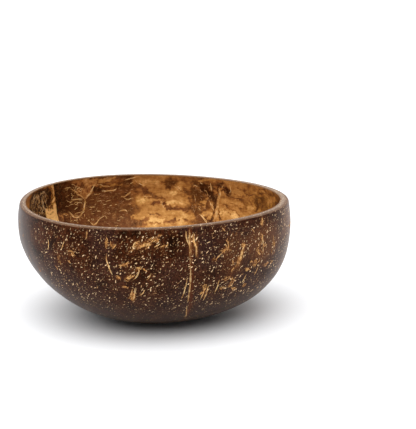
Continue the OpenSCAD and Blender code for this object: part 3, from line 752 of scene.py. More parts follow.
class Net:
    """The node tree of one material or of the world."""

    def __init__(self, owner: bpy.types.Material | bpy.types.World) -> None:
        """Empties the owner's tree."""
        owner.use_nodes = True
        self.owner = owner
        self.tree = owner.node_tree
        self.tree.nodes.clear()

    @classmethod
    def of_material(cls, name: str) -> "Net":
        """Starts a new material."""
        return cls(bpy.data.materials.new(name))

    def add(
        self,
        kind: str,
        inputs: dict | tuple = (),
        out: int | str = 0,
        stops: tuple[tuple[float, str], ...] = (),
        **settings: object,
    ) -> Socket | None:
        """Adds a node with its settings and links.

        Args:
            kind: Node type, without the word that all shader nodes start with.
            inputs: Values or sockets, in order or by name.
            out: Which output to give back.
            stops: Places and hex colours of a ramp.
            **settings: Properties of the node.

        Returns:
            The output, or None if the node has no outputs.
        """
        node = self.tree.nodes.new("ShaderNode" + kind)
        for name, value in settings.items():
            setattr(node, name, value)
        pairs = inputs.items() if isinstance(inputs, dict) else enumerate(inputs)
        for key, value in pairs:
            if isinstance(value, Socket):
                self.tree.links.new(value, node.inputs[key])
            else:
                node.inputs[key].default_value = value
        if stops:
            elements = node.color_ramp.elements
            while len(elements) < len(stops):
                elements.new(1.0)
            for element, (position, colour) in zip(elements, stops):
                element.position = position
                element.color = linear(colour)
        return node.outputs[out] if len(node.outputs) else None

    def attribute(self, name: str, out: str = "Fac") -> Socket:
        """Reads what the mesh holds at each vertex."""
        return self.add("Attribute", attribute_name=name, out=out)

    def noise(
        self, place: Socket, size: float, detail: float, roughness: float = 0.5, **more: object
    ) -> Socket:
        """Adds uneven clouds.

        Args:
            place: Coordinates, in metres.
            size: Distance between clouds, in millimetres.
            detail: How many finer layers of clouds lie on them.
            roughness: How strong the finer layers are.
            **more: More arguments for the node.

        Returns:
            The clouds, from 0 to 1.
        """
        inputs = {"Vector": place, "Scale": per_mm(size), "Detail": detail, "Roughness": roughness}
        return self.add("TexNoise", inputs, **more)

    def bent(self, place: Socket, size: float, detail: float, amount: float) -> Socket:
        """Lets coordinates stray by up to about half an amount in millimetres, as grown lines do."""
        bend = self.noise(place, size, detail, out="Color")
        centred = self.vector("SUBTRACT", bend, (0.5, 0.5, 0.5))
        return self.vector("ADD", place, self.scaled(centred, amount * MM))

    def ranged(
        self, value: Socket, low: float = 0.0, high: float = 1.0, to_low: float = 0.0, to_high: float = 1.0,
        soft: bool = False,
    ) -> Socket:
        """Maps the range from low to high to another one, and holds its ends."""
        inputs = {"Value": value, "From Min": low, "From Max": high, "To Min": to_low, "To Max": to_high}
        return self.add("MapRange", inputs, interpolation_type="SMOOTHSTEP" if soft else "LINEAR")

    def maths(self, operation: str, *values: Socket | float, clamp: bool = False) -> Socket:
        """Works out one number from others."""
        return self.add("Math", values, operation=operation, use_clamp=clamp)

    def vector(self, operation: str, *values: object, out: int | str = 0) -> Socket:
        """Works out one vector from others."""
        return self.add("VectorMath", values, operation=operation, out=out)

    def scaled(self, vector: Socket, amount: Socket | float) -> Socket:
        """Multiplies a vector or a colour by a number."""
        return self.add("VectorMath", {0: vector, "Scale": amount}, operation="SCALE")

    def mixed(self, share: Socket, first: Socket, second: Socket | str, **settings: object) -> Socket:
        """Mixes a share of the second colour, which may be a hex colour, into the first."""
        colour = linear(second) if isinstance(second, str) else second
        return self.add("Mix", {0: share, 6: first, 7: colour}, out=2, data_type="RGBA", **settings)

    def bump(self, height: Socket, strength: float, depth: float) -> Socket:
        """Tilts the surface by a height pattern whose depth is in millimetres."""
        return self.add("Bump", {"Height": height, "Strength": strength, "Distance": depth * MM})

    def finish(
        self, colour: Socket | tuple, roughness: Socket | float, **more: object
    ) -> bpy.types.Material:
        """Ends the tree in a surface.

        Args:
            colour: Its colour.
            roughness: How rough it is.
            **more: More inputs of the shader, in small letters with an underscore for each space.

        Returns:
            The material.
        """
        shader = self.add("BsdfPrincipled", {"Base Color": colour, "Roughness": roughness})
        sockets = {socket.name.lower().replace(" ", "_"): socket for socket in shader.node.inputs}
        for name, value in more.items():
            if isinstance(value, Socket):
                self.tree.links.new(value, sockets[name])
            else:
                sockets[name].default_value = value
        self.add("OutputMaterial", (shader,))
        return self.owner


def per_mm(size: float) -> float:
    """Scale of a pattern on coordinates in metres, whose features are this many millimetres apart."""
    return 1.0 / (size * MM)


@dataclass(frozen=True)
class FleckLayer:
    """One size of fibre ends, which the sanding cut across. Sizes are in millimetres."""

    spacing: float
    half_length: float
    half_width: float
    half_depth: float
    lean: float
    spread: float
    share: float
    randomness: float = 0.86

    def draw(self, net: Net, place: Socket) -> tuple[Socket, ...]:
        """Adds the nodes of the layer.

        Args:
            net: Where to.
            place: Coordinates, in metres.

        Returns:
            Where the flecks are, from 0 to 1, a number by chance for each, and the dark sheath round it.
        """
        cells = {"Vector": place, "Scale": per_mm(self.spacing), "Randomness": self.randomness}
        cell = net.add("TexVoronoi", cells, out="Position")
        chance = net.add("SeparateColor", (cell.node.outputs["Color"],))
        offset = net.vector("SUBTRACT", place, cell)
        up = net.attribute("grain_up", out="Vector")
        around = net.attribute("grain_around", out="Vector")
        away = net.vector("CROSS_PRODUCT", around, up)
        parts = tuple(net.vector("DOT_PRODUCT", offset, way, out="Value") for way in (around, up, away))
        local = net.add("CombineXYZ", parts)
        middle, half = math.radians(self.lean), math.radians(self.spread)
        angle = net.ranged(chance, to_low=-middle - half, to_high=-middle + half)
        turned = net.add("VectorRotate", {"Vector": local, "Angle": angle}, rotation_type="Z_AXIS")
        half_sizes = (self.half_length, self.half_width, self.half_depth)
        scaled = net.vector("MULTIPLY", turned, tuple(1 / (half_size * MM) for half_size in half_sizes))
        reach = net.vector("LENGTH", scaled, out="Value")
        green, blue = chance.node.outputs["Green"], chance.node.outputs["Blue"]
        sized = net.maths("MULTIPLY", reach, net.ranged(green, to_low=1.35, to_high=0.8))
        spot = net.ranged(sized, 1.2, 0.8, soft=True)
        kept = net.maths("LESS_THAN", blue, self.share)
        near = net.ranged(sized, 2.3, 1.3, soft=True)
        sheath = net.maths("MULTIPLY", near, kept)
        return net.maths("MULTIPLY", spot, kept), green, sheath


@dataclass(frozen=True)
class PolishedShell:
    """Coconut shell, scraped, sanded fine and oiled.

    The eye sees dark brown stone-like wood with cream flecks, where fibre ends were cut across,
    golden smears of husk that the scraping left, and a soft satin sheen that greys the edges, partly painted
    into the colour.
    """

    name: str = "polished_coconut_shell"
    dark: str = "#150602"
    brown: str = "#341608"
    light: str = "#4b2916"
    plum: str = "#33201c"
    cream: str = "#fcd6a6"
    tan: str = "#704c30"
    sand: str = "#b88a5c"
    pale: str = "#dcaa68"
    gold: str = "#b27a3c"
    ochre: str = "#7d4c1e"
    torn: str = "#3c1e0c"
    halo: str = "#6e4020"
    # Grey of a painted sheen: the pale floor's reflection low down, and the sheen at the sides
    painted_sheen: str = "#35251f"
    groove: str = "#552812"
    # Colour of the painted sheen at the right edge
    rubbed: str = "#80604c"
    shine: str = "#ffc08f"
    sheen: str = "#c9b3a2"
    dots: FleckLayer = FleckLayer(1.8, 0.44, 0.19, 0.7, 45, 65, 0.6)
    dashes: FleckLayer = FleckLayer(2.4, 0.8, 0.16, 0.7, 50, 40, 0.56)
    specks: FleckLayer = FleckLayer(1.05, 0.28, 0.14, 0.4, 50, 90, 0.6)

    def ground(self, net: Net, place: Socket, grain: Socket, depth: Socket) -> Socket:
        """Colours the bare shell, with painted sheen low down, at the sides and at the right edge.

        Args:
            net: Where to.
            place: Coordinates, in metres.
            grain: Fine unevenness, from 0 to 1.
            depth: How full of fibre ends each place is.

        Returns:
            The colour.
        """
        cloud = net.noise(place, 7, detail=5.0, roughness=0.7)
        stops = ((0.34, self.dark), (0.5, self.brown), (0.68, self.light))
        ground = net.add("ValToRGB", (cloud,), stops=stops)
        hue = net.noise(place, 24, detail=2.0)
        ground = net.mixed(net.ranged(hue, 0.45, 0.65, to_high=0.8), ground, self.plum)
        # Painted sheen: duller and greyer low down, as the pale floor's reflection, and where fibre ends are
        # few, as at the veiled sides
        dull = net.ranged(depth, 0.5, 0.1, to_high=0.4)
        low = net.ranged(net.attribute("height"), 42.0, 14.0, to_high=0.6)
        ground = net.mixed(net.maths("MAXIMUM", dull, low), ground, self.painted_sheen)
        # Painted sheen: the right edge paler, as a grazing reflection would make it
        ground = net.mixed(net.ranged(net.attribute("rubbed"), to_high=0.5), ground, self.rubbed)
        ground = net.scaled(ground, net.ranged(grain, 0.3, 0.7, to_low=0.28, to_high=1.75))
        # Seams: a reddish groove between the strands
        return net.mixed(net.ranged(net.attribute("groove"), 0.35, 0.9, to_high=0.75), ground, self.groove)

    def build(self) -> bpy.types.Material:
        """Builds the material."""
        net = Net.of_material(self.name)
        place = net.add("TexCoord", out="Object")
        # Flecks and smears wander a little, as fibres do
        bent = net.bent(place, 1.6, detail=1.0, amount=0.8)
        grain = net.noise(place, 0.8, detail=2.0)
        depth = net.attribute("depth")
        ground = self.ground(net, place, grain, depth)
        # Smears of husk, torn into streaks that lean, each with a brown halo
        streak = net.attribute("streak", out="Vector")
        torn = net.noise(streak, 0.9, detail=5.0, roughness=0.85)
        thick = net.maths("MULTIPLY_ADD", net.attribute("smear"), 0.5, torn)
        lain = net.ranged(thick, 0.88, 1.04, to_high=0.85)
        colour = net.mixed(net.ranged(thick, 0.6, 0.9, to_high=0.8), ground, self.halo)
        fine = net.noise(streak, 0.4, detail=3.0, roughness=0.75)
        husk_stops = ((0.38, self.torn), (0.48, self.ochre), (0.58, self.gold), (0.7, self.pale))
        colour = net.mixed(lain, colour, net.add("ValToRGB", (fine,), stops=husk_stops))
        # Flecks, from the finest up. They thin out towards the foot, where the shell is denser.
        crowd = net.noise(place, 11, detail=2.0)
        strength = net.maths("MULTIPLY", net.ranged(crowd, 0.38, 0.56, to_low=0.72), depth)
        marks = lain
        fleck_stops = ((0.0, self.tan), (0.55, self.sand), (0.92, self.cream))
        for layer, amount in ((self.specks, 0.5), (self.dashes, 1.0), (self.dots, 1.1)):
            spot, chance, sheath = layer.draw(net, bent)
            colour = net.scaled(colour, net.ranged(sheath, to_low=1.0, to_high=1.0 - 0.45 * amount))
            part = net.maths("MULTIPLY", spot, amount)
            seen = net.maths("MULTIPLY", part, strength, clamp=True)
            colour = net.mixed(seen, colour, net.add("ValToRGB", (chance,), stops=fleck_stops))
            marks = net.maths("MAXIMUM", marks, seen)
        return net.finish(
            colour, net.ranged(marks, to_low=0.33, to_high=0.56), ior=1.5,
            normal=net.bump(net.maths("ADD", grain, marks), strength=0.35, depth=0.06),
            specular_ior_level=0.06, specular_tint=linear(self.shine),
            sheen_weight=0.07, sheen_roughness=0.4, sheen_tint=linear(self.sheen),
        )


@dataclass(frozen=True)
class CutRim:
    """Coconut shell sawn across and sanded: paler and greyer than the wall, with fine cut fibre ends."""

    name: str = "sanded_shell_edge"
    outer: str = "#6e523f"
    middle: str = "#8b7563"
    inner: str = "#795839"
    # Multiplied into the rim in front: painted shade
    front: str = "#e3dace"
    fleck: str = "#e6c9a4"
    pit: str = "#4a3226"
    shine: str = "#ffd2b0"
    dots: FleckLayer = FleckLayer(1.5, 0.36, 0.2, 0.6, 0, 60, 0.5)
    pits: FleckLayer = FleckLayer(1.1, 0.34, 0.18, 0.4, 0, 90, 0.6)

    def build(self) -> bpy.types.Material:
        """Builds the material."""
        net = Net.of_material(self.name)
        place = net.add("TexCoord", out="Object")
        cloud = net.noise(place, 3.0, detail=4.0, roughness=0.7)
        shifted = net.maths("ADD", cloud, -0.5)
        wavy = net.maths("MULTIPLY_ADD", shifted, 0.8, net.attribute("inside"))
        stops = ((0.0, self.outer), (0.28, self.middle), (0.74, self.middle), (0.98, self.inner))
        colour = net.add("ValToRGB", (wavy,), stops=stops)
        colour = net.scaled(colour, net.ranged(cloud, 0.35, 0.65, to_low=0.78, to_high=1.18))
        # Painted shade: the rim darker in front, towards the camera
        colour = net.mixed(net.attribute("front"), colour, self.front, blend_type="MULTIPLY")
        for layer, amount, tint in ((self.pits, 0.6, self.pit), (self.dots, 0.8, self.fleck)):
            spot, _, _ = layer.draw(net, place)
            colour = net.mixed(net.maths("MULTIPLY", spot, amount), colour, tint)
        grit = net.noise(place, 0.45, detail=2.0)
        return net.finish(
            colour, net.ranged(grit, to_low=0.4, to_high=0.65),
            normal=net.bump(grit, strength=0.3, depth=0.05),
            specular_ior_level=0.2, specular_tint=linear(self.shine),
        )


@dataclass(frozen=True)
class InnerWall:
    """Inside of the shell, scraped clean of the white flesh and oiled.

    The eye sees gold where the thin inner skin was left and dark brown where it came off, with
    ragged borders, pale thread-like lines on the dark, brown scales on the gold and a satin shine.
    """

    name: str = "scraped_inner_wall"
    olive: tuple[tuple[float, str], ...] = (
        (0.0, "#1e0d05"), (0.2, "#43240d"), (0.38, "#623c17"), (0.5, "#8b5c28"),
        (0.62, "#b07c38"), (0.8, "#cd9850"), (1.0, "#fdcc7c"),
    )
    ruddy: tuple[tuple[float, str], ...] = (
        (0.0, "#240e07"), (0.2, "#4c2511"), (0.38, "#754627"), (0.5, "#965d34"),
        (0.62, "#b07542"), (0.8, "#cf975a"), (1.0, "#efbf80"),
    )
    thread: str = "#c2945c"
    scale: str = "#7a4a22"
    shine: str = "#ffc890"
    scales: FleckLayer = FleckLayer(1.9, 0.62, 0.24, 0.6, 0, 70, 0.5)
    strokes: FleckLayer = FleckLayer(2.2, 0.8, 0.15, 0.6, 0, 60, 0.5)

    def threads(self, net: Net, place: Socket, size: float, width: float) -> Socket:
        """Adds broken, winding lines, which lie where a smooth pattern crosses its middle value.

        Args:
            net: Where to.
            place: Coordinates, in metres.
            size: Distance between lines, in millimetres.
            width: Width of a line in the pattern's own units.

        Returns:
            Where the lines are, from 0 to 1.
        """
        winding = {"Vector": place, "Scale": per_mm(size), "Detail": 1.0, "Distortion": 0.6}
        wave = net.add("TexNoise", winding)
        apart = net.maths("SUBTRACT", wave, 0.5)
        line = net.ranged(net.maths("ABSOLUTE", apart), width, width * 0.3, soft=True)
        gaps = net.noise(place, size * 1.7, detail=2.0)
        return net.maths("MULTIPLY", line, net.ranged(gaps, 0.44, 0.56))

    def painted(self, net: Net, beyond: Socket) -> tuple[Socket, Socket]:
        """Reads the painted tone and redness on the right side of the fold line."""
        values = []
        for near, far in (("tone", "tone_beyond"), ("red", "red_beyond")):
            both = {0: beyond, 2: net.attribute(near), 3: net.attribute(far)}
            values.append(net.add("Mix", both, data_type="FLOAT"))
        return values[0], values[1]

    def build(self) -> bpy.types.Material:
        """Builds the material."""
        net = Net.of_material(self.name)
        place = net.add("TexCoord", out="Object")
        bent = net.bent(place, 2.4, detail=3.0, amount=1.4)
        # Which side of the fold line, with an edge that wavers by a few tenths of a millimetre
        waver = net.noise(place, 2.2, detail=3.0)
        wavered = net.maths("MULTIPLY_ADD", waver, 0.9, net.attribute("fold_mm"))
        beyond = net.ranged(wavered, 0.33, 0.57)
        tone, red = self.painted(net, beyond)
        # Ragged borders: coarse and fine unevenness, and streaks that run round the bowl
        streak = net.attribute("streak", out="Vector")
        uneven = 0.0
        for vector, size, detail, amount in (
            (bent, 5.0, 6.0, 0.7), (bent, 2.0, 5.0, 0.5), (streak, 1.7, 5.0, 0.45), (streak, 0.6, 3.0, 0.38),
        ):
            shifted = net.maths("ADD", net.noise(vector, size, detail, roughness=0.65), -0.5)
            uneven = net.maths("MULTIPLY_ADD", shifted, amount, uneven)
        # The dark wood is evener than the skin on it
        rough = net.ranged(tone, 0.16, 0.5, to_low=0.46)
        tone = net.maths("MULTIPLY_ADD", uneven, rough, tone)
        olive = net.add("ValToRGB", (tone,), stops=self.olive)
        ruddy = net.add("ValToRGB", (tone,), stops=self.ruddy)
        colour = net.mixed(red, olive, ruddy)
        # Brown scales and cracks on the gold
        lightness = net.ranged(tone, 0.5, 0.75, to_high=0.36)
        scale_spot, _, _ = self.scales.draw(net, bent)
        brown = net.maths("MAXIMUM", scale_spot, self.threads(net, bent, size=4.2, width=0.012))
        colour = net.mixed(net.maths("MULTIPLY", brown, lightness), colour, self.scale)
        # Pale threads on the dark, thickest in the field beyond the fold
        darkness = net.ranged(tone, 0.6, 0.36, to_high=0.3)
        more = net.maths("MULTIPLY_ADD", beyond, 0.25, darkness)
        seen = net.maths("MULTIPLY", self.threads(net, place, size=1.7, width=0.04), more)
        stroke, _, _ = self.strokes.draw(net, bent)
        pale = net.maths("MAXIMUM", seen, net.maths("MULTIPLY", stroke, darkness), clamp=True)
        dark_only = net.ranged(tone, 0.66, 0.5)
        colour = net.mixed(net.maths("MULTIPLY", pale, dark_only), colour, self.thread)
        grit = net.noise(place, 0.8, detail=3.0)
        relief = net.maths("MULTIPLY_ADD", tone, 1.5, grit)
        return net.finish(
            colour, net.ranged(tone, to_low=0.38, to_high=0.52),
            normal=net.bump(relief, strength=0.45, depth=0.12),
            specular_ior_level=0.22, specular_tint=linear(self.shine),
        )


@dataclass(frozen=True)
class DryFibre:
    """Dry plant fibre, polished together with the shell: pale and golden by turns, matt."""

    name: str
    pale: str
    mid: str
    deep: str

    def build(self) -> bpy.types.Material:
        """Builds the material."""
        net = Net.of_material(self.name)
        place = net.add("TexCoord", out="Object")
        # Threads run mostly up the wall
        drawn = net.vector("MULTIPLY", place, (1.0, 1.0, 0.22))
        thread = net.noise(drawn, 0.35, detail=2.0)
        cloud = net.noise(place, 2.2, detail=3.0)
        both = net.maths("MULTIPLY_ADD", thread, 0.55, cloud)
        colour = net.add("ValToRGB", (both,), stops=((0.58, self.deep), (0.74, self.mid), (0.92, self.pale)))
        return net.finish(
            colour, net.ranged(cloud, to_low=0.5, to_high=0.75),
            normal=net.bump(thread, strength=0.5, depth=0.05),
            specular_ior_level=0.3,
        )


def finished(
    name: str, data: bpy.types.ID, materials: list[bpy.types.Material], nodes: tuple[str, ...]
) -> bpy.types.Object:
    """Makes an object of a mesh or curve and ties it to the frame.

    Args:
        name: Name of the piece.
        data: Its mesh or curve.
        materials: Its finishes, in the order of its slots.
        nodes: CAD nodes that it stands for.

    Returns:
        The piece.
    """
    piece = linked(name, data)
    for material in materials:
        data.materials.append(material)
    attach(piece, BODY)
    if nodes:
        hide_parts(*nodes)
    log.info("made %s", name)
    return piece


@dataclass
class Shell:
    """The hard shell: one closed wall with its sanded foot and its cut rim."""

    shape: WallShape
    paint: WallPaint
    turns: int = 360
    foot_steps: int = 8
    outer_steps: int = 74
    inner_top_steps: int = 44
    inner_low_steps: int = 36
    painted_from: float = 29.0
    edge_steps: int = 5
    flat_steps: int = 5
    far_slope: float = 0.25
    foot_top: float = 0.01
    node: str = "shell"

    def profile(self) -> list[tuple[float, float, float]]:
        """Works out the wall's section.

        Returns:
            Plain radius, height and how far inside each point is, from the middle of the foot
            round the rim to the middle of the floor.
        """
        s = self.shape
        foot_r = float(s.radius(np.array(0.0), Side.OUTER)) - s.ease
        points = [(foot_r * i / self.foot_steps, 0.0, 0.0) for i in range(self.foot_steps + 1)]
        for z in s.levels(s.ease, s.height - s.rim_outer, Side.OUTER, self.outer_steps):
            points.append((float(s.radius(z, Side.OUTER)), float(z), 0.0))
        for i in range(1, self.edge_steps + 1):
            turn = math.pi / 2 * i / self.edge_steps
            z = s.height - s.rim_outer * (1 - math.sin(turn))
            points.append((float(s.radius(z, Side.OUTER)) - s.rim_outer * (1 - math.cos(turn)), z, 0.0))
        inner_edge = []
        for i in range(self.edge_steps, 0, -1):
            turn = math.pi / 2 * i / self.edge_steps
            z = s.height - s.rim_inner * (1 - math.sin(turn))
            inner_edge.append((float(s.radius(z, Side.INNER)) + s.rim_inner * (1 - math.cos(turn)), z, 1.0))
        start, end = points[-1], inner_edge[0]
        for i in range(1, self.flat_steps):
            t = i / self.flat_steps
            points.append((start[0] + (end[0] - start[0]) * t, s.height, t))
        points += inner_edge
        top = s.levels(s.height - s.rim_inner, self.painted_from, Side.INNER, self.inner_top_steps)
        low = s.levels(self.painted_from, s.floor, Side.INNER, self.inner_low_steps)
        for z in np.concatenate([top, low[1:]]):
            points.append((float(s.radius(z, Side.INNER)), float(z), 1.0))
        return points

    def build(
        self, outer: bpy.types.Material, rim: bpy.types.Material, inner: bpy.types.Material
    ) -> bpy.types.Object:
        """Spins the section, grows it into its uneven form and dresses it.

        Args:
            outer: Finish of the outer wall.
            rim: Finish of the cut rim and the sanded foot.
            inner: Finish of the inner wall.

        Returns:
            The piece.
        """
        bm = bmesh.new()
        inside = bm.verts.layers.float.new("inside")
        line = []
        for r, z, share in self.profile():
            vert = bm.verts.new((r, 0.0, z))
            vert[inside] = share
            line.append(vert)
        for low, high in zip(line, line[1:]):
            bm.edges.new((low, high))
        bmesh.ops.spin(
            bm, geom=bm.verts[:] + bm.edges[:], cent=(0, 0, 0), axis=(0, 0, 1),
            angle=2 * math.pi, steps=self.turns, use_merge=True,
        )
        bmesh.ops.remove_doubles(bm, verts=bm.verts[:], dist=SAME_PLACE)
        s = self.shape
        # The far inner wall, which the eye sees best, takes twice as fine a mesh for its painted lines
        fine = set()
        for face in bm.faces:
            middle = face.calc_center_median()
            far_side = middle.y > -self.far_slope * abs(middle.x)
            if far_side and middle.z > self.painted_from and min(v[inside] for v in face.verts) == 1:
                fine.update(face.edges)
        bmesh.ops.subdivide_edges(bm, edges=list(fine), cuts=1, use_grid_fill=True)
        bmesh.ops.recalc_face_normals(bm, faces=bm.faces[:])
        top = s.height - 0.4 * s.rim_outer
        for face in bm.faces:
            middle = face.calc_center_median()
            share = sum(v[inside] for v in face.verts) / len(face.verts)
            on_rim = (middle.z > top and share < 0.5) or middle.z > s.height - 0.9 * s.rim_inner
            on_foot = middle.z < self.foot_top
            face.material_index = 1 if on_rim or on_foot else (2 if share > 0.5 else 0)
            face.smooth = True
        mesh = mesh_of(bm, "hard_shell")
        plain = vertex_rows(mesh, "co")
        az = np.degrees(np.arctan2(plain[:, 1], plain[:, 0]))
        r = np.hypot(plain[:, 0], plain[:, 1])
        move_vertices(mesh, s.place(az, plain[:, 2], r, read(mesh, "inside")))
        write(mesh, "az", az)
        write(mesh, "height", plain[:, 2])
        self.paint.dress(mesh)
        return finished("hard_shell", mesh, [outer, rim, inner], (self.node,))


@dataclass(frozen=True)
class Strand:
    """One strand: its share of the full size, and its route as azimuths and heights."""

    size: float
    route: tuple[tuple[float, float], ...]

    def smooth_route(self, steps: int) -> np.ndarray:
        """Draws a smooth line through the route.

        Args:
            steps: Parts of each stretch.

        Returns:
            Azimuth and height of each point, one in each row.
        """
        points = np.array(self.route, float)
        first, last = 2 * points[0] - points[1], 2 * points[-1] - points[-2]
        p = np.vstack([first, points, last])
        rows = []
        for i in range(1, len(p) - 2):
            for t in np.linspace(0, 1, steps, endpoint=False):
                rows.append(
                    0.5 * (2 * p[i] + (p[i + 1] - p[i - 1]) * t
                           + (2 * p[i - 1] - 5 * p[i] + 4 * p[i + 1] - p[i + 2]) * t * t
                           + (3 * p[i] - p[i - 1] - 3 * p[i + 1] + p[i + 2]) * t ** 3)
                )
        rows.append(p[-2])
        return np.array(rows)


@dataclass
class StrandBundle:
    """Strands on one wall, each of a few tapered filaments that lie half sunk in the wall."""

    name: str
    nodes: tuple[str, ...]
    side: Side
    strands: tuple[Strand, ...]
    slot: str
    width: float
    filaments: int
    seed: int
    sunk: float = 0.3
    steps: int = 5
    most_cut: float = 0.16
    swing: float = 0.3
    least_points: int = 4
    rim_gap: float = 1.0

    def build(self, shape: WallShape, material: bpy.types.Material) -> bpy.types.Object:
        """Builds the strands as one curve object.

        Args:
            shape: The walls.
            material: Finish of the strands.

        Returns:
            The piece.
        """
        chance = np.random.default_rng(self.seed)
        curve = bpy.data.curves.new(self.name, "CURVE")
        curve.dimensions = "3D"
        curve.bevel_depth = MM
        curve.bevel_resolution = 1
        curve.use_fill_caps = True
        for strand in self.strands:
            line = strand.smooth_route(self.steps)
            width = self.width * strand.size
            count = max(1, round(self.filaments * min(1.0, strand.size)))
            for i in range(count):
                self.add_filament(curve, shape, line, width, i, count, chance)
        return finished(self.name, curve, [material], self.nodes)

    def add_filament(
        self, curve: bpy.types.Curve, shape: WallShape, line: np.ndarray, width: float, index: int,
        count: int, chance: np.random.Generator,
    ) -> None:
        """Adds one filament beside the strand's middle line.

        Args:
            curve: Where to.
            shape: The walls.
            line: Azimuths and heights along the strand.
            width: Full width of the strand.
            index: Number of the filament.
            count: How many filaments the strand has.
            chance: Source of the unevenness.
        """
        first, last = (int(len(line) * chance.uniform(0, self.most_cut)) for _ in range(2))
        if count == 1 or index == count // 2:
            first, last = 0, 0
        part = line[first:len(line) - last]
        if len(part) < self.least_points:
            part = line
        n = len(part)
        t = np.linspace(0, 1, n)
        pitch = width / count
        across = (index - (count - 1) / 2) * pitch * (0.75 + 0.25 * np.sin(math.pi * t))
        waves = t * chance.uniform(0.8, 2.2) + chance.uniform()
        across = across + pitch * self.swing * np.sin(2 * math.pi * waves)
        r = shape.radius(part[:, 1], Side.OUTER)
        mm_per_degree = r * math.pi / 180
        run = np.gradient(part, axis=0) * np.stack([mm_per_degree, np.ones(n)], axis=-1)
        run /= np.maximum(np.linalg.norm(run, axis=1, keepdims=True), TINY)
        az = part[:, 0] + across * run[:, 1] / mm_per_degree
        z = np.clip(part[:, 1] - across * run[:, 0], self.rim_gap, shape.height - self.rim_gap)
        thick = pitch * chance.uniform(0.36, 0.56) * (0.2 + 0.8 * np.sin(math.pi * t) ** 0.5)
        away = shape.outward(az, z, self.side)
        points = shape.on_wall(az, z, self.side) - away * (thick * self.sunk)[:, None]
        spline = curve.splines.new("POLY")
        spline.points.add(n - 1)
        flat = np.hstack([points * MM, np.ones((n, 1))])
        spline.points.foreach_set("co", flat.astype(np.float32).ravel())
        spline.points.foreach_set("radius", thick.astype(np.float32))
        spline.use_smooth = True


def as_strands(height: float, table: list[tuple[float, list[tuple[float, float]]]]) -> tuple[Strand, ...]:
    """Turns a table of sizes and routes, whose heights are shares of the bowl's, to strands."""
    return tuple(Strand(size, tuple((az, share * height) for az, share in route)) for size, route in table)


FRONT_SEAM = [
    (1.25, [(-73.8, 0.982), (-73.9, 0.9), (-73.8, 0.84), (-73.6, 0.76)]),
    (0.9, [(-73.8, 0.79), (-73.6, 0.65), (-74, 0.565), (-74.3, 0.505), (-74.8, 0.42), (-75.3, 0.34)]),
    (0.6, [(-75.4, 0.967), (-75.4, 0.915), (-74.8, 0.872), (-74.2, 0.845)]),
    (0.7, [(-72, 0.95), (-72.2, 0.912), (-72, 0.87), (-71.3, 0.826), (-71.3, 0.78), (-71.6, 0.737)]),
    (0.4, [(-72.8, 0.938), (-72.5, 0.887), (-72.1, 0.86)]),
    (0.6, [(-75.6, 0.57), (-76, 0.533), (-76.6, 0.48), (-77.5, 0.425), (-78.2, 0.38)]),
    (0.5, [(-75.4, 0.3), (-74.6, 0.22), (-73.2, 0.13)]),
]
RIGHT_SEAM = [
    (1.1, [(60.4, 0.96), (60.7, 0.85), (60.3, 0.72), (60.8, 0.6), (60.4, 0.45)]),
    (0.6, [(62.9, 0.9), (63.1, 0.83), (62.7, 0.76)]),
    (0.65, [(58.2, 0.66), (57.9, 0.58), (58.3, 0.5)]),
    (0.5, [(60.2, 0.4), (59.2, 0.3), (59.6, 0.2)]),
]
LEFT_SEAM = [
    (1.2, [(140.9, 0.965), (140.5, 0.86), (141, 0.74), (140.6, 0.62), (140.2, 0.5), (140.8, 0.38)]),
    (0.65, [(138.3, 0.93), (138, 0.86), (138.4, 0.79)]),
    (0.6, [(143.4, 0.72), (143.8, 0.64), (143.2, 0.56)]),
    (0.5, [(140.9, 0.31), (142, 0.24), (141.4, 0.16)]),
]
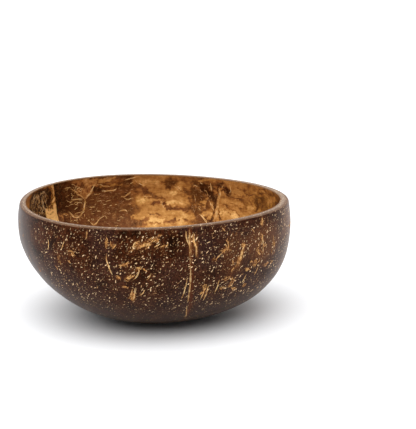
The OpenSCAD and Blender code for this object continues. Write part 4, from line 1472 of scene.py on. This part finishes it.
FRONT_WALL = [
    (0.5, [(-133.7, 0.855), (-133.6, 0.81), (-134, 0.765)]),
    (0.5, [(-124.9, 0.868), (-125.8, 0.83), (-126.5, 0.79)]),
    (0.55, [(-115.1, 0.965), (-115, 0.935), (-115.4, 0.9)]),
    (0.45, [(-107.2, 0.89), (-107, 0.87), (-107.1, 0.845)]),
    (0.65, [(-107.1, 0.8), (-107, 0.745), (-106.4, 0.68), (-105.7, 0.62)]),
    (0.55, [(-96.9, 0.83), (-96.6, 0.87), (-95.6, 0.895), (-93.8, 0.91)]),
    (0.5, [(-91.8, 0.86), (-90.7, 0.885), (-89.2, 0.9)]),
    (0.45, [(-88.6, 0.855), (-87.4, 0.865), (-86.2, 0.88)]),
    (0.6, [(-94.9, 0.68), (-95.2, 0.64), (-96.4, 0.605), (-98, 0.57)]),
    (0.45, [(-90.4, 0.63), (-91.1, 0.605), (-92.3, 0.575)]),
    (0.6, [(-97.4, 0.51), (-98.3, 0.46), (-100.2, 0.38)]),
    (0.5, [(-98.9, 0.5), (-99.9, 0.45), (-101.6, 0.4)]),
    (0.5, [(-93.8, 0.49), (-95.2, 0.455), (-97.2, 0.425)]),
    (0.45, [(-121.7, 0.78), (-121.4, 0.765), (-121.2, 0.745)]),
    (0.45, [(-102.6, 0.705), (-100.8, 0.71), (-99, 0.72)]),
    (0.6, [(-65.6, 0.485), (-66.1, 0.42), (-67, 0.335)]),
    (0.5, [(-67.2, 0.475), (-67.9, 0.41), (-68.8, 0.35)]),
    (0.55, [(-60.3, 0.52), (-60.9, 0.46), (-61.8, 0.39)]),
    (0.45, [(-51.8, 0.505), (-52.3, 0.47), (-53, 0.437)]),
    (0.45, [(-57.6, 0.5), (-55.9, 0.51), (-54.2, 0.523)]),
    (0.5, [(-59.5, 0.75), (-60.8, 0.735), (-62.2, 0.71)]),
    (0.5, [(-58.9, 0.96), (-58.3, 0.945), (-57.6, 0.93)]),
    (0.5, [(-58, 0.83), (-57.2, 0.8), (-56.8, 0.765)]),
    (0.75, [(-47.5, 0.8), (-48.7, 0.75), (-49.9, 0.69), (-51.1, 0.64)]),
    (0.5, [(-36.9, 0.84), (-36.6, 0.78), (-36.3, 0.72), (-36.1, 0.66)]),
    (0.45, [(-43.5, 0.91), (-42.6, 0.895), (-41.8, 0.875)]),
    (0.45, [(-28.6, 0.8), (-28.9, 0.76), (-29.4, 0.72)]),
    (0.45, [(-45.2, 0.52), (-45.9, 0.485), (-46.8, 0.45)]),
    (0.45, [(-38.4, 0.56), (-39, 0.52), (-39.8, 0.49)]),
]
BACK_WALL = [
    (0.55, [(-8.2, 0.86), (-8.4, 0.81), (-8.9, 0.76)]), (0.5, [(1.6, 0.62), (1.2, 0.57), (0.4, 0.52)]),
    (0.6, [(12.4, 0.91), (12.1, 0.85), (12.8, 0.78)]), (0.5, [(20.5, 0.56), (20, 0.5), (18.9, 0.44)]),
    (0.55, [(31.2, 0.83), (31.6, 0.78), (31, 0.72)]), (0.45, [(38.6, 0.47), (39.9, 0.45), (41.2, 0.44)]),
    (0.6, [(47.3, 0.92), (46.9, 0.86), (47.4, 0.79)]), (0.5, [(72.6, 0.7), (71.8, 0.65), (71.5, 0.59)]),
    (0.6, [(80.1, 0.9), (80.4, 0.84), (79.6, 0.77)]), (0.45, [(88.5, 0.48), (87.2, 0.46), (86.2, 0.43)]),
    (0.55, [(98.2, 0.8), (98.5, 0.74), (97.9, 0.67)]), (0.5, [(107.4, 0.55), (106.6, 0.5), (106.2, 0.44)]),
    (0.6, [(117.8, 0.93), (117.4, 0.87), (118, 0.81)]),
    (0.5, [(127.2, 0.62), (126.5, 0.57), (126.2, 0.51)]),
    (0.55, [(153.1, 0.88), (153.5, 0.82), (152.9, 0.76)]),
    (0.5, [(162.4, 0.54), (161.5, 0.49), (161.1, 0.43)]),
    (0.55, [(173.6, 0.84), (173.1, 0.78), (173.7, 0.71)]),
    (0.5, [(184.9, 0.61), (184.2, 0.56), (183.9, 0.5)]),
    (0.55, [(196.3, 0.9), (196.8, 0.85), (196.1, 0.79)]),
    (0.45, [(206.8, 0.66), (206, 0.62), (205.6, 0.57)]),
]
LEFT_VEINS = [
    (0.9, [(130.5, 0.912), (128.8, 0.895), (127.2, 0.876), (126.2, 0.851), (124.6, 0.835), (123.2, 0.812),
           (122.5, 0.792)]),
    (0.95, [(116.4, 0.958), (117, 0.93), (118.2, 0.895), (118.8, 0.873), (119.5, 0.843), (120.8, 0.82),
            (121.9, 0.803), (122.5, 0.79)]),
    (0.9, [(122.5, 0.792), (122.3, 0.764), (122.9, 0.738), (123.3, 0.708), (124.3, 0.683)]),
    (0.8, [(130.3, 0.803), (127.6, 0.806), (125.4, 0.799), (123.4, 0.797)]),
    (0.9, [(124.3, 0.683), (125.3, 0.663), (126.7, 0.647), (128.2, 0.643), (129.9, 0.651), (130.9, 0.674),
           (131.7, 0.698), (132.8, 0.708)]),
    (0.7, [(121.7, 0.582), (121, 0.568), (120.3, 0.558), (119.2, 0.563), (117.8, 0.58)]),
    (0.7, [(104.3, 0.793), (102.6, 0.788), (101.6, 0.803), (100.4, 0.817), (99.5, 0.83)]),
    (0.7, [(113.7, 0.85), (111.8, 0.85), (109.6, 0.853), (107.6, 0.857), (106.3, 0.867)]),
]
RIGHT_VEINS = [
    (1.6, [(54.3, 0.908), (53.8, 0.872), (53.7, 0.843), (54.6, 0.803), (55, 0.755), (55.3, 0.72),
           (55.7, 0.695), (56, 0.653), (56.5, 0.613), (57, 0.585)]),
    (0.8, [(59, 0.95), (58.6, 0.917), (58.5, 0.89), (58.8, 0.87)]),
    (0.8, [(59.7, 0.78), (58.4, 0.73), (57.2, 0.69)]),
    (0.8, [(65.6, 0.648), (64, 0.63), (62.6, 0.61), (61.4, 0.587), (60.8, 0.57)]),
    (0.7, [(77.6, 0.897), (76.3, 0.885), (75.3, 0.87), (74.6, 0.853)]),
    (0.7, [(28.4, 0.6), (25.6, 0.583), (22.4, 0.592)]),
]
# Thin strokes between the veins, which the CAD doesn't have
THIN_STROKES = [
    # On the dark band and the dark field beside it
    (0.7, [(134.2, 0.923), (132.4, 0.93), (130.4, 0.927)]),
    (0.7, [(130.3, 0.962), (128.3, 0.943), (127.5, 0.928)]),
    (0.6, [(127.8, 0.917), (127.2, 0.924), (126.4, 0.932)]),
    (0.7, [(127, 0.892), (126.1, 0.907), (124.9, 0.913)]),
    (0.8, [(124.4, 0.833), (124.2, 0.867), (123.7, 0.893), (122.6, 0.92)]),
    (0.6, [(129.8, 0.818), (129.3, 0.835), (128, 0.85)]),
    (0.7, [(128.5, 0.773), (126.7, 0.777), (124.9, 0.77)]),
    (0.6, [(128.6, 0.713), (127.6, 0.723), (126.6, 0.732)]),
    (0.6, [(127.9, 0.68), (126, 0.682), (124.2, 0.683)]),
    (0.7, [(128.2, 0.632), (128.7, 0.618), (129, 0.605)]),
    (0.6, [(127, 0.63), (126.9, 0.62), (126.8, 0.61)]),
    (0.5, [(131.4, 0.76), (129.6, 0.766), (128, 0.762)]),
    (0.5, [(133.4, 0.84), (132.2, 0.852), (131, 0.858)]),
    (0.5, [(132.6, 0.81), (131.6, 0.796), (130.4, 0.79)]),
    # Right of the branching vein
    (0.7, [(116.2, 0.923), (114.3, 0.917), (113, 0.905)]),
    (0.8, [(117.7, 0.833), (116.1, 0.828), (114.2, 0.83)]),
    (0.8, [(120.5, 0.718), (119.2, 0.712), (117.2, 0.712)]),
    (0.7, [(111.8, 0.75), (110.2, 0.76), (109.2, 0.765)]),
    (0.6, [(110.5, 0.707), (109.7, 0.712), (108.9, 0.712)]),
    (0.6, [(116.9, 0.673), (116, 0.67), (115, 0.668)]),
    (0.5, [(111, 0.678), (110.9, 0.67), (110.8, 0.662)]),
    (0.6, [(120.1, 0.657), (119.2, 0.655), (118.4, 0.653)]),
    (0.6, [(107.6, 0.717), (107, 0.72), (106.3, 0.718)]),
    (0.6, [(109.6, 0.528), (108.8, 0.53), (108, 0.528)]), (0.6, [(113, 0.9), (111.4, 0.9), (109.6, 0.892)]),
    (0.5, [(116, 0.76), (115, 0.764), (113.6, 0.76)]),
    (0.5, [(113.4, 0.72), (112.6, 0.728), (111.6, 0.728)]),
    (0.5, [(119.8, 0.78), (118.8, 0.784), (117.6, 0.78)]),
    (0.5, [(113.2, 0.625), (112.8, 0.61), (112.9, 0.6)]),
    (0.5, [(109.4, 0.62), (108.6, 0.626), (107.8, 0.62)]),
    (0.5, [(106.4, 0.6), (105.4, 0.604), (104.4, 0.598)]), (0.5, [(108, 0.57), (107, 0.572), (106, 0.566)]),
    (0.9, [(106.2, 0.652), (104, 0.663), (102.4, 0.66), (102.2, 0.642)]),
    (0.7, [(101, 0.718), (100.4, 0.716), (99.8, 0.712)]),
    (0.8, [(119.4, 0.553), (117.6, 0.582), (115.8, 0.608), (113.2, 0.625)]),
    # Below the rim, left of the middle
    (0.9, [(102.9, 0.948), (100.5, 0.96), (98.3, 0.968), (96.5, 0.98)]),
    (0.7, [(99.8, 0.91), (98.9, 0.922), (98, 0.93)]),
    (0.9, [(97.5, 0.947), (96.7, 0.927), (95.2, 0.908), (93, 0.89)]),
    (0.8, [(104.1, 0.792), (101.4, 0.762), (99.5, 0.77), (98, 0.773)]),
    (0.6, [(93.6, 0.79), (91.4, 0.784), (89.2, 0.79)]), (0.6, [(84.4, 0.742), (84.5, 0.71), (83.6, 0.682)]),
    (0.5, [(90.6, 0.622), (88.8, 0.616), (87.2, 0.616)]), (0.6, [(78.4, 0.892), (77, 0.874), (76, 0.852)]),
    # Dark column and the right of it
    (0.8, [(51.6, 0.94), (52.1, 0.928), (52.6, 0.918)]),
    (0.6, [(48, 0.955), (47.5, 0.93), (47.4, 0.9), (48, 0.875)]),
    (0.8, [(64.6, 0.95), (63.8, 0.938), (63.2, 0.933)]), (0.6, [(68.4, 0.9), (67, 0.912), (65.8, 0.9)]),
    (0.5, [(67.8, 0.82), (67.4, 0.79), (67.6, 0.76)]), (0.6, [(58.4, 0.77), (57.9, 0.742), (57.3, 0.718)]),
    (0.5, [(61.6, 0.87), (60.8, 0.85), (60.6, 0.82)]), (0.5, [(66, 0.71), (65, 0.69), (64.4, 0.68)]),
    # On the dark field beyond the fold
    (0.9, [(160, 0.955), (160.6, 0.93), (160.2, 0.905), (159, 0.88)]),
    (0.7, [(156.6, 0.955), (156.9, 0.93), (156.2, 0.908)]),
    (0.7, [(152.6, 0.94), (151, 0.945), (149.4, 0.938)]),
    (0.9, [(148.6, 0.93), (149.2, 0.9), (148.8, 0.868), (148, 0.84)]),
    (0.8, [(146.6, 0.915), (146.4, 0.885), (145.6, 0.862)]),
    (0.7, [(150.8, 0.88), (151.2, 0.858), (150.6, 0.838)]),
    (0.7, [(153.6, 0.905), (153.8, 0.88), (153, 0.862)]),
    (0.7, [(156.4, 0.885), (156, 0.862), (155, 0.848)]),
    (0.7, [(162.4, 0.93), (163, 0.905), (162.4, 0.885)]),
    (0.7, [(147, 0.83), (146.6, 0.81), (146.2, 0.79)]), (0.7, [(150, 0.82), (149.6, 0.8), (149.2, 0.785)]),
    (0.7, [(153.4, 0.838), (152.4, 0.82), (152.6, 0.8)]),
    (0.7, [(157.4, 0.835), (156.2, 0.818), (155.8, 0.8)]),
    (0.6, [(160.6, 0.86), (159.6, 0.842), (159.2, 0.822)]),
    (0.7, [(150.6, 0.765), (149.6, 0.75), (149.8, 0.732)]),
    (0.7, [(154.2, 0.782), (153, 0.768), (152.4, 0.752)]),
    (0.6, [(157.6, 0.782), (156.4, 0.77), (155.4, 0.76)]),
    (0.6, [(152.2, 0.732), (151.2, 0.722), (150.2, 0.716)]),
]


@dataclass(frozen=True)
class Strewn:
    """Fine fibres strewn along a line or over a band round it, each slightly bent. Lengths are in mm."""

    route: tuple[tuple[float, float], ...]
    width: float
    count: int
    length: tuple[float, float] = (1.2, 3.0)
    size: tuple[float, float] = (0.2, 0.34)
    turned: float = 0.0
    spread: float = 26.0

    def strands(self, chance: np.random.Generator) -> list[Strand]:
        """Strews the fibres.

        Args:
            chance: Source of the unevenness.

        Returns:
            One strand for each fibre.
        """
        scale = np.array([MM_PER_DEGREE, 1.0])
        flat = np.array(self.route, float) * scale
        steps = np.linalg.norm(np.diff(flat, axis=0), axis=1)
        made = []
        for _ in range(self.count):
            k = int(chance.choice(len(steps), p=steps / steps.sum()))
            way = (flat[k + 1] - flat[k]) / steps[k]
            across = np.array([-way[1], way[0]])
            middle = flat[k] + way * steps[k] * chance.uniform()
            middle = middle + across * self.width * chance.uniform(-0.5, 0.5)
            angle = math.atan2(way[1], way[0]) + math.radians(self.turned + chance.normal(0, self.spread))
            ahead = np.array([math.cos(angle), math.sin(angle)]) * chance.uniform(*self.length) / 2
            bow = np.array([-ahead[1], ahead[0]]) * chance.normal(0, 0.3)
            line = tuple(tuple(spot / scale) for spot in (middle - ahead, middle + bow, middle + ahead))
            made.append(Strand(chance.uniform(*self.size), line))
        return made


# Husk fibres that the scraping pressed flat on the outer wall
HUSK_TUFTS = (
    # Above the middle of the front
    Strewn(((-97.2, 49.8), (-96.4, 51.6), (-94.8, 53.2)), 1.2, 7),
    Strewn(((-95.3, 53.5), (-93.9, 52.4), (-94.5, 50.2)), 1.8, 10),
    Strewn(((-93.6, 51.6), (-91.9, 52.6), (-90.5, 54.1), (-88.6, 54.9), (-87, 54.7)), 2.0, 21),
    Strewn(((-87.2, 54.8), (-86.8, 56.8), (-85.5, 56.4)), 1.2, 6),
    Strewn(((-91.8, 51.2), (-89.8, 52.8)), 1.1, 5), Strewn(((-84.8, 50.4), (-82.8, 52.4)), 0.5, 3),
    Strewn(((-86, 51.2), (-84.6, 52.2)), 0.6, 3),
    # Left of it
    Strewn(((-106.8, 55.8), (-106.6, 51.8)), 1.1, 7), Strewn(((-105.2, 53.7), (-104.8, 51.8)), 0.7, 4),
    Strewn(((-103.2, 52.9), (-104.2, 51.2)), 0.6, 4),
    Strewn(((-102.2, 41.9), (-100.7, 42.6), (-98.8, 43.1)), 1.2, 7),
    Strewn(((-104.4, 36.8), (-102.8, 35.6)), 1.1, 6),
    Strewn(((-100.6, 35.6), (-98.4, 36.6), (-97.2, 37.7)), 1.7, 12),
    Strewn(((-95.3, 41.2), (-94.1, 40.6)), 1.0, 4), Strewn(((-93, 40.6), (-92.4, 39.6)), 0.7, 3),
    Strewn(((-99, 28.4), (-99.7, 25.4), (-100.4, 22.8)), 1.9, 16),
    Strewn(((-102.4, 31.2), (-101, 31)), 1.0, 4), Strewn(((-122.4, 47), (-120.4, 47.6)), 0.8, 3),
    Strewn(((-120.4, 47.6), (-121.1, 45.2)), 0.8, 4),
    Strewn(((-128.3, 43.9), (-128.5, 39.4)), 1.1, 5, (1.0, 2.2)),
    Strewn(((-123.8, 43.5), (-123, 41.2)), 0.5, 3),
    Strewn(((-131.6, 37.8), (-131, 36.4)), 0.7, 3, (0.8, 1.8)),
    Strewn(((-146.3, 33.8), (-147.2, 30.6)), 0.5, 3),
    # Right of the seam
    Strewn(((-57.3, 52.4), (-56.7, 49.4), (-56.4, 46.8)), 1.1, 9),
    Strewn(((-59.4, 46), (-57.3, 46.7), (-55.7, 45.8)), 1.2, 11),
    Strewn(((-49.6, 47.6), (-47.6, 46.8)), 1.7, 9), Strewn(((-48.2, 45.8), (-49.6, 42.8)), 1.3, 9),
    Strewn(((-50, 42.2), (-51, 38.4), (-50.2, 37.2)), 2.4, 24),
    Strewn(((-50.8, 37.6), (-52.6, 36.4), (-54.2, 35.2)), 0.6, 6),
    Strewn(((-54.4, 40.6), (-53.6, 38.4)), 1.7, 6, (0.8, 1.8), spread=40.0),
    Strewn(((-63, 42.4), (-61.2, 43.2)), 1.4, 4),
    Strewn(((-37.6, 50.6), (-37.3, 47.4), (-39.2, 45)), 1.4, 12),
    Strewn(((-39.2, 45), (-39.9, 43), (-38, 41)), 1.6, 12), Strewn(((-36.4, 45), (-34.4, 44.4)), 1.0, 5),
    Strewn(((-28.9, 39.4), (-27.9, 44.4)), 1.4, 6),
    Strewn(((-37.4, 55), (-35.6, 57.6)), 2.3, 10, spread=45.0),
    Strewn(((-43.6, 37.4), (-40.5, 36), (-39, 38.2)), 2.9, 19, spread=45.0),
    Strewn(((-46.2, 34.9), (-44.4, 33.3)), 1.6, 9), Strewn(((-34.8, 33.7), (-31.4, 34)), 1.2, 9),
    Strewn(((-29.8, 34), (-27.4, 34)), 1.0, 5), Strewn(((-57.8, 31.3), (-54.4, 32.1)), 0.8, 6),
    Strewn(((-53, 31.2), (-53.1, 29.4), (-53.9, 26.4)), 1.1, 10),
    Strewn(((-59.6, 26.2), (-56.4, 26)), 0.7, 5), Strewn(((-52, 24.4), (-49.4, 24.7)), 1.2, 6),
    Strewn(((-67, 29.4), (-67.8, 27), (-68.5, 24.2)), 1.8, 15),
    Strewn(((-45.4, 25), (-43.6, 25.4)), 1.1, 5), Strewn(((-72.6, 56.4), (-72, 51)), 0.8, 7),
    # Sides and back
    Strewn(((-10.4, 47.4), (-5.8, 49)), 1.4, 9), Strewn(((1.6, 35.2), (6.4, 37)), 1.2, 7),
    Strewn(((15.4, 52.4), (14.6, 47.6)), 1.6, 11), Strewn(((21.6, 30.4), (26, 31.8)), 1.2, 7),
    Strewn(((31.4, 45.2), (36.4, 47)), 1.4, 10), Strewn(((39.6, 26.6), (42.4, 27.4)), 1.1, 5),
    Strewn(((49, 51.2), (51, 53)), 1.6, 7), Strewn(((61.8, 55), (61, 46)), 1.1, 12),
    Strewn(((67.8, 39.4), (72, 40.8)), 1.2, 7), Strewn(((82.4, 51.6), (81.6, 46.4)), 1.4, 11),
    Strewn(((87.6, 32.2), (92.4, 33.8)), 1.2, 8), Strewn(((98.6, 43), (103.4, 45.2)), 1.6, 11),
    Strewn(((110.6, 52.4), (113.6, 53.6)), 1.4, 7), Strewn(((119.2, 35.4), (122.8, 36.8)), 1.2, 7),
    Strewn(((131.4, 49.4), (130.6, 44.6)), 1.3, 9), Strewn(((139.4, 56), (139.8, 47)), 1.1, 11),
    Strewn(((149, 29.4), (153, 30.6)), 1.1, 6), Strewn(((156, 49), (160.4, 51)), 1.4, 9),
    Strewn(((170.4, 40.6), (169.6, 35.4)), 1.4, 9), Strewn(((179.4, 51.4), (182.8, 52.6)), 1.2, 6),
    Strewn(((189.6, 33.2), (194.4, 34.8)), 1.2, 3), Strewn(((203.4, 48.2), (202.6, 43.8)), 1.3, 2),
)

# Pale threads beyond the fold line
FAR_THREADS = (
    Strewn(((163.4, 51.6), (147.2, 50.8)), 12.0, 66, (1.6, 3.6), (0.36, 0.56), 82.0, 34.0),
)

# Golden threads on the other dark parts of the inner wall
INNER_THREADS = (
    Strewn(((133, 48), (124, 48)), 18.0, 20, (1.2, 2.8), (0.26, 0.4), 0.0, 30.0),
    Strewn(((136, 40), (120, 35.6)), 5.0, 16, (0.9, 1.8), (0.3, 0.42), 0.0, 50.0),
)

# Dull dashes on the dark fields
INNER_DASHES = (
    Strewn(((121, 42.6), (99, 41.6)), 20.0, 64, (1.2, 2.8), (0.22, 0.34), 0.0, 12.0),
    Strewn(((69, 48), (59, 46)), 20.0, 30, (1.2, 2.6), (0.24, 0.38), 80.0, 40.0),
    Strewn(((112, 57.8), (99, 57.4)), 4.0, 12, (1.2, 2.6), (0.24, 0.36), 0.0, 12.0),
)


@dataclass(frozen=True)
class Flake:
    """One flake of inner skin: its place, its half sizes and the number that shapes its ragged outline."""

    az: float
    height_share: float
    half_az: float
    half_height_share: float
    seed: float

    def outline(self, turn: np.ndarray) -> np.ndarray:
        """How far the outline reaches in a direction, in degrees, as a share of the half size."""
        rough = 0
        for lobes, depth, phase in (
            (2, 0.14, 1), (3, 0.1, 2), (5, 0.06, 3), (11, 0.025, 5), (19, 0.018, 7), (31, 0.012, 11),
        ):
            rough = rough + depth * np.sin(np.radians(lobes * turn + phase * self.seed))
        return 1 + rough


LEFT_SKIN = (
    (145.3, 0.705, 3.9, 0.07, 10),
    (145.2, 0.872, 2.5, 0.045, 130),
    (162.2, 0.85, 3.8, 0.045, 70),
)
MIDDLE_SKIN = (
    (90.6, 0.57, 8.2, 0.085, 40),
    (94.4, 0.742, 3, 0.032, 200),
    (109.4, 0.928, 4.2, 0.026, 300),
    (88.2, 0.92, 6, 0.028, 95),
)
RIGHT_SKIN = (
    (41.2, 0.65, 7.4, 0.1, 160),
    (20.4, 0.77, 7.2, 0.062, 250),
    (78.1, 0.72, 5.4, 0.052, 20),
)
FRONT_SKIN = (
    (258.6, 0.59, 9.8, 0.078, 215),
    (310.3, 0.78, 8.4, 0.052, 60),
    (214.2, 0.66, 7.6, 0.052, 345),
)


@dataclass
class InnerSkin:
    """Flakes of thin inner skin, each a dished sheet that clings to the inner wall."""

    name: str
    nodes: tuple[str, ...]
    flakes: tuple[Flake, ...]
    around: int = 144
    rings: int = 24
    thickness: float = 0.1
    lift: float = 0.08
    dive: float = 0.05
    wear_share: float = 0.35
    lighter: float = 0.03

    def build(self, shape: WallShape, paint: WallPaint, material: bpy.types.Material) -> bpy.types.Object:
        """Builds the flakes as one mesh.

        Args:
            shape: The walls.
            paint: Writes what the finish reads.
            material: Finish of the skin.

        Returns:
            The piece.
        """
        bm = bmesh.new()
        az_layer = bm.verts.layers.float.new("az")
        z_layer = bm.verts.layers.float.new("height")
        inside = bm.verts.layers.float.new("inside")
        for flake in self.flakes:
            made = bmesh.ops.create_grid(bm, x_segments=self.around, y_segments=self.rings, size=1.0)
            verts = made["verts"]
            flat = np.array([v.co for v in verts])
            turn = (flat[:, 0] + 1) * 180
            reach = flake.outline(turn) * (flat[:, 1] + 1) / 2
            az = flake.az - flake.half_az * reach * np.cos(np.radians(turn))
            up = flake.half_height_share * reach * np.sin(np.radians(turn))
            z = shape.height * (flake.height_share + up)
            away = shape.outward(az, z, Side.INNER)
            # The border is worn away unevenly, and dives under the surface of the wall
            edge = (flat[:, 1] + 1) / 2
            spots = np.stack([az * MM_PER_DEGREE, z, 0 * z], axis=-1)
            wear = strayed(0.5, spots, (0.3, 3.0, 41), (0.2, 1.3, 42))
            worn_edge = edge + self.wear_share * wear * edge
            lift = self.lift - (self.lift + self.dive) * smooth(0.5, 1.0, worn_edge)
            points = shape.on_wall(az, z, Side.INNER) + away * lift[:, None]
            for vert, point, a, h in zip(verts, points, az, z):
                vert.co = Vector(point)
                vert[az_layer] = a
                vert[z_layer] = h
                vert[inside] = 1.0
            bmesh.ops.remove_doubles(bm, verts=verts, dist=SAME_PLACE)
        bmesh.ops.recalc_face_normals(bm, faces=bm.faces[:])
        for face in bm.faces:
            face.smooth = True
            middle = face.calc_center_median()
            # The sheets are open, so each is turned to look into the hollow
            if face.normal.dot(Vector((-middle.x, -middle.y, 0))) < 0:
                face.normal_flip()
        mesh = mesh_of(bm, self.name)
        move_vertices(mesh, vertex_rows(mesh, "co"))
        paint.dress(mesh, self.lighter)
        piece = finished(self.name, mesh, [material], self.nodes)
        solid = piece.modifiers.new("thickness", "SOLIDIFY")
        solid.thickness = self.thickness * MM
        solid.offset = -1.0
        return piece


@dataclass(frozen=True)
class Studio:
    """Camera, pale floor, surroundings and one broad soft panel overhead."""

    camera_place: tuple[float, float, float] = (0.0, -0.775854, 0.225065)
    camera_aim: tuple[float, float, float] = (0.025316, 0.004522, 0.050790)
    lens: float = 127.842
    floor_size: float = 8.0
    floor_colour: str = "#f2f3f5"
    front_glow: float = 0.18
    back_glow: float = 1.1
    left_share: float = 0.2
    panel_watts: float = 3.6
    panel_spread: float = 80.0
    panel_place: tuple[float, float, float] = (-0.15, -0.45, 1.0)

    def surround(self) -> bpy.types.World:
        """Makes a room that is dim behind the camera, and bright behind the bowl and at its left."""
        world = bpy.data.worlds.new("white_room")
        net = Net(world)
        way = net.add("TexCoord", out="Generated")
        back = net.add("SeparateXYZ", (way,), out="Y")
        side = net.maths("MULTIPLY_ADD", back.node.outputs["X"], -self.left_share, back)
        glow = net.ranged(side, -0.6, 0.8, to_low=self.front_glow, to_high=self.back_glow, soft=True)
        background = net.add("Background", {"Color": linear("#ffffff"), "Strength": glow})
        net.add("OutputWorld", (background,))
        return world

    def build(self) -> None:
        """Sets the stage."""
        scene = bpy.context.scene
        data = bpy.data.cameras.new("camera")
        data.lens = self.lens
        data.sensor_width = 36.0
        data.clip_start = 0.01
        data.clip_end = 50.0
        camera = linked("camera", data)
        camera.location = self.camera_place
        look = Vector(self.camera_aim) - Vector(self.camera_place)
        camera.rotation_euler = look.to_track_quat("-Z", "Y").to_euler()
        scene.camera = camera
        scene.world = self.surround()
        scene.view_settings.view_transform = "Standard"
        panel = bpy.data.lights.new("soft_panel", "SUN")
        panel.energy = self.panel_watts
        panel.angle = math.radians(self.panel_spread)
        lamp = linked("soft_panel", panel)
        lamp.rotation_euler = (-Vector(self.panel_place)).to_track_quat("-Z", "Y").to_euler()
        bm = bmesh.new()
        bmesh.ops.create_grid(bm, x_segments=1, y_segments=1, size=self.floor_size / 2)
        mesh = mesh_of(bm, "floor")
        floor = linked("floor", mesh)
        mesh.materials.append(Net.of_material("matt_white_card").finish(linear(self.floor_colour), 0.7))
        log.info("set the stage")


def main() -> None:
    """Builds the studio and every piece of the bowl in order."""
    logging.basicConfig(level=logging.INFO, format="%(name)s: %(message)s")
    Studio().build()
    shape = WallShape.fitted("shell")
    paint = WallPaint(shape)
    inner = InnerWall().build()
    husk = DryFibre("dry_husk_fibre", "#f0cc90", "#c69050", "#805229").build()
    worn = DryFibre("worn_husk_fibre", "#bf9868", "#91673c", "#5f4024").build()
    pressed = DryFibre("husk_fibre_pressed_by_the_scraper", "#e2ae68", "#b87c3c", "#74461e").build()
    vein = DryFibre("dried_skin_vein", "#f8d494", "#dfa860", "#ae7a40").build()
    pale = DryFibre("pale_skin_thread", "#f0d2a4", "#cfa670", "#94693c").build()
    dull = DryFibre("dull_skin_thread", "#cc9a66", "#9f7044", "#6b4526").build()
    Shell(shape, paint).build(PolishedShell().build(), CutRim().build(), inner)
    h = shape.height
    outer_groups = (
        ("front_seam_strands", "front_seam_fibres", FRONT_SEAM, 11, husk),
        ("right_seam_strands", "right_seam_fibres", RIGHT_SEAM, 12, husk),
        ("left_seam_strands", "left_seam_fibres", LEFT_SEAM, 13, husk),
        ("front_wall_strands", "front_wall_fibres", FRONT_WALL, 14, husk),
        ("back_wall_strands", "back_wall_fibres", BACK_WALL, 15, worn),
    )
    for name, node, table, seed, finish in outer_groups:
        strands = as_strands(h, table)
        bundle = StrandBundle(name, (node,), Side.OUTER, strands, "husk_fibre", 1.1, 4, seed)
        bundle.build(shape, finish)
    for name, side, fields, slot, finish, seed in (
        ("husk_tufts", Side.OUTER, HUSK_TUFTS, "husk_fibre", pressed, 31),
        ("far_threads", Side.INNER, FAR_THREADS, "inner_vein", pale, 32),
        ("inner_threads", Side.INNER, INNER_THREADS, "inner_vein", vein, 34),
        ("inner_dashes", Side.INNER, INNER_DASHES, "inner_vein", dull, 33),
    ):
        chance = np.random.default_rng(seed)
        strands = tuple(strand for field in fields for strand in field.strands(chance))
        StrandBundle(name, (), side, strands, slot, 1.0, 1, seed, steps=3).build(shape, finish)
    inner_groups = (
        ("left_vein_strands", ("left_inner_veins",), LEFT_VEINS, 21, 1.1, 3),
        ("right_vein_strands", ("right_inner_veins",), RIGHT_VEINS, 22, 1.1, 3),
        ("thin_inner_strokes", (), THIN_STROKES, 23, 0.6, 2),
    )
    for name, nodes, table, seed, width, filaments in inner_groups:
        strands = as_strands(h, table)
        bundle = StrandBundle(name, nodes, Side.INNER, strands, "inner_vein", width, filaments, seed)
        bundle.build(shape, vein)
    for name, node, rows in (
        ("left_skin_flakes", "left_inner_skin", LEFT_SKIN),
        ("middle_skin_flakes", "middle_inner_skin", MIDDLE_SKIN),
        ("right_skin_flakes", "right_inner_skin", RIGHT_SKIN),
        ("front_skin_flakes", "front_inner_skin", FRONT_SKIN),
    ):
        flakes = tuple(Flake(*row) for row in rows)
        InnerSkin(name, (node,), flakes).build(shape, paint, inner)


if __name__ == "__main__":
    main()
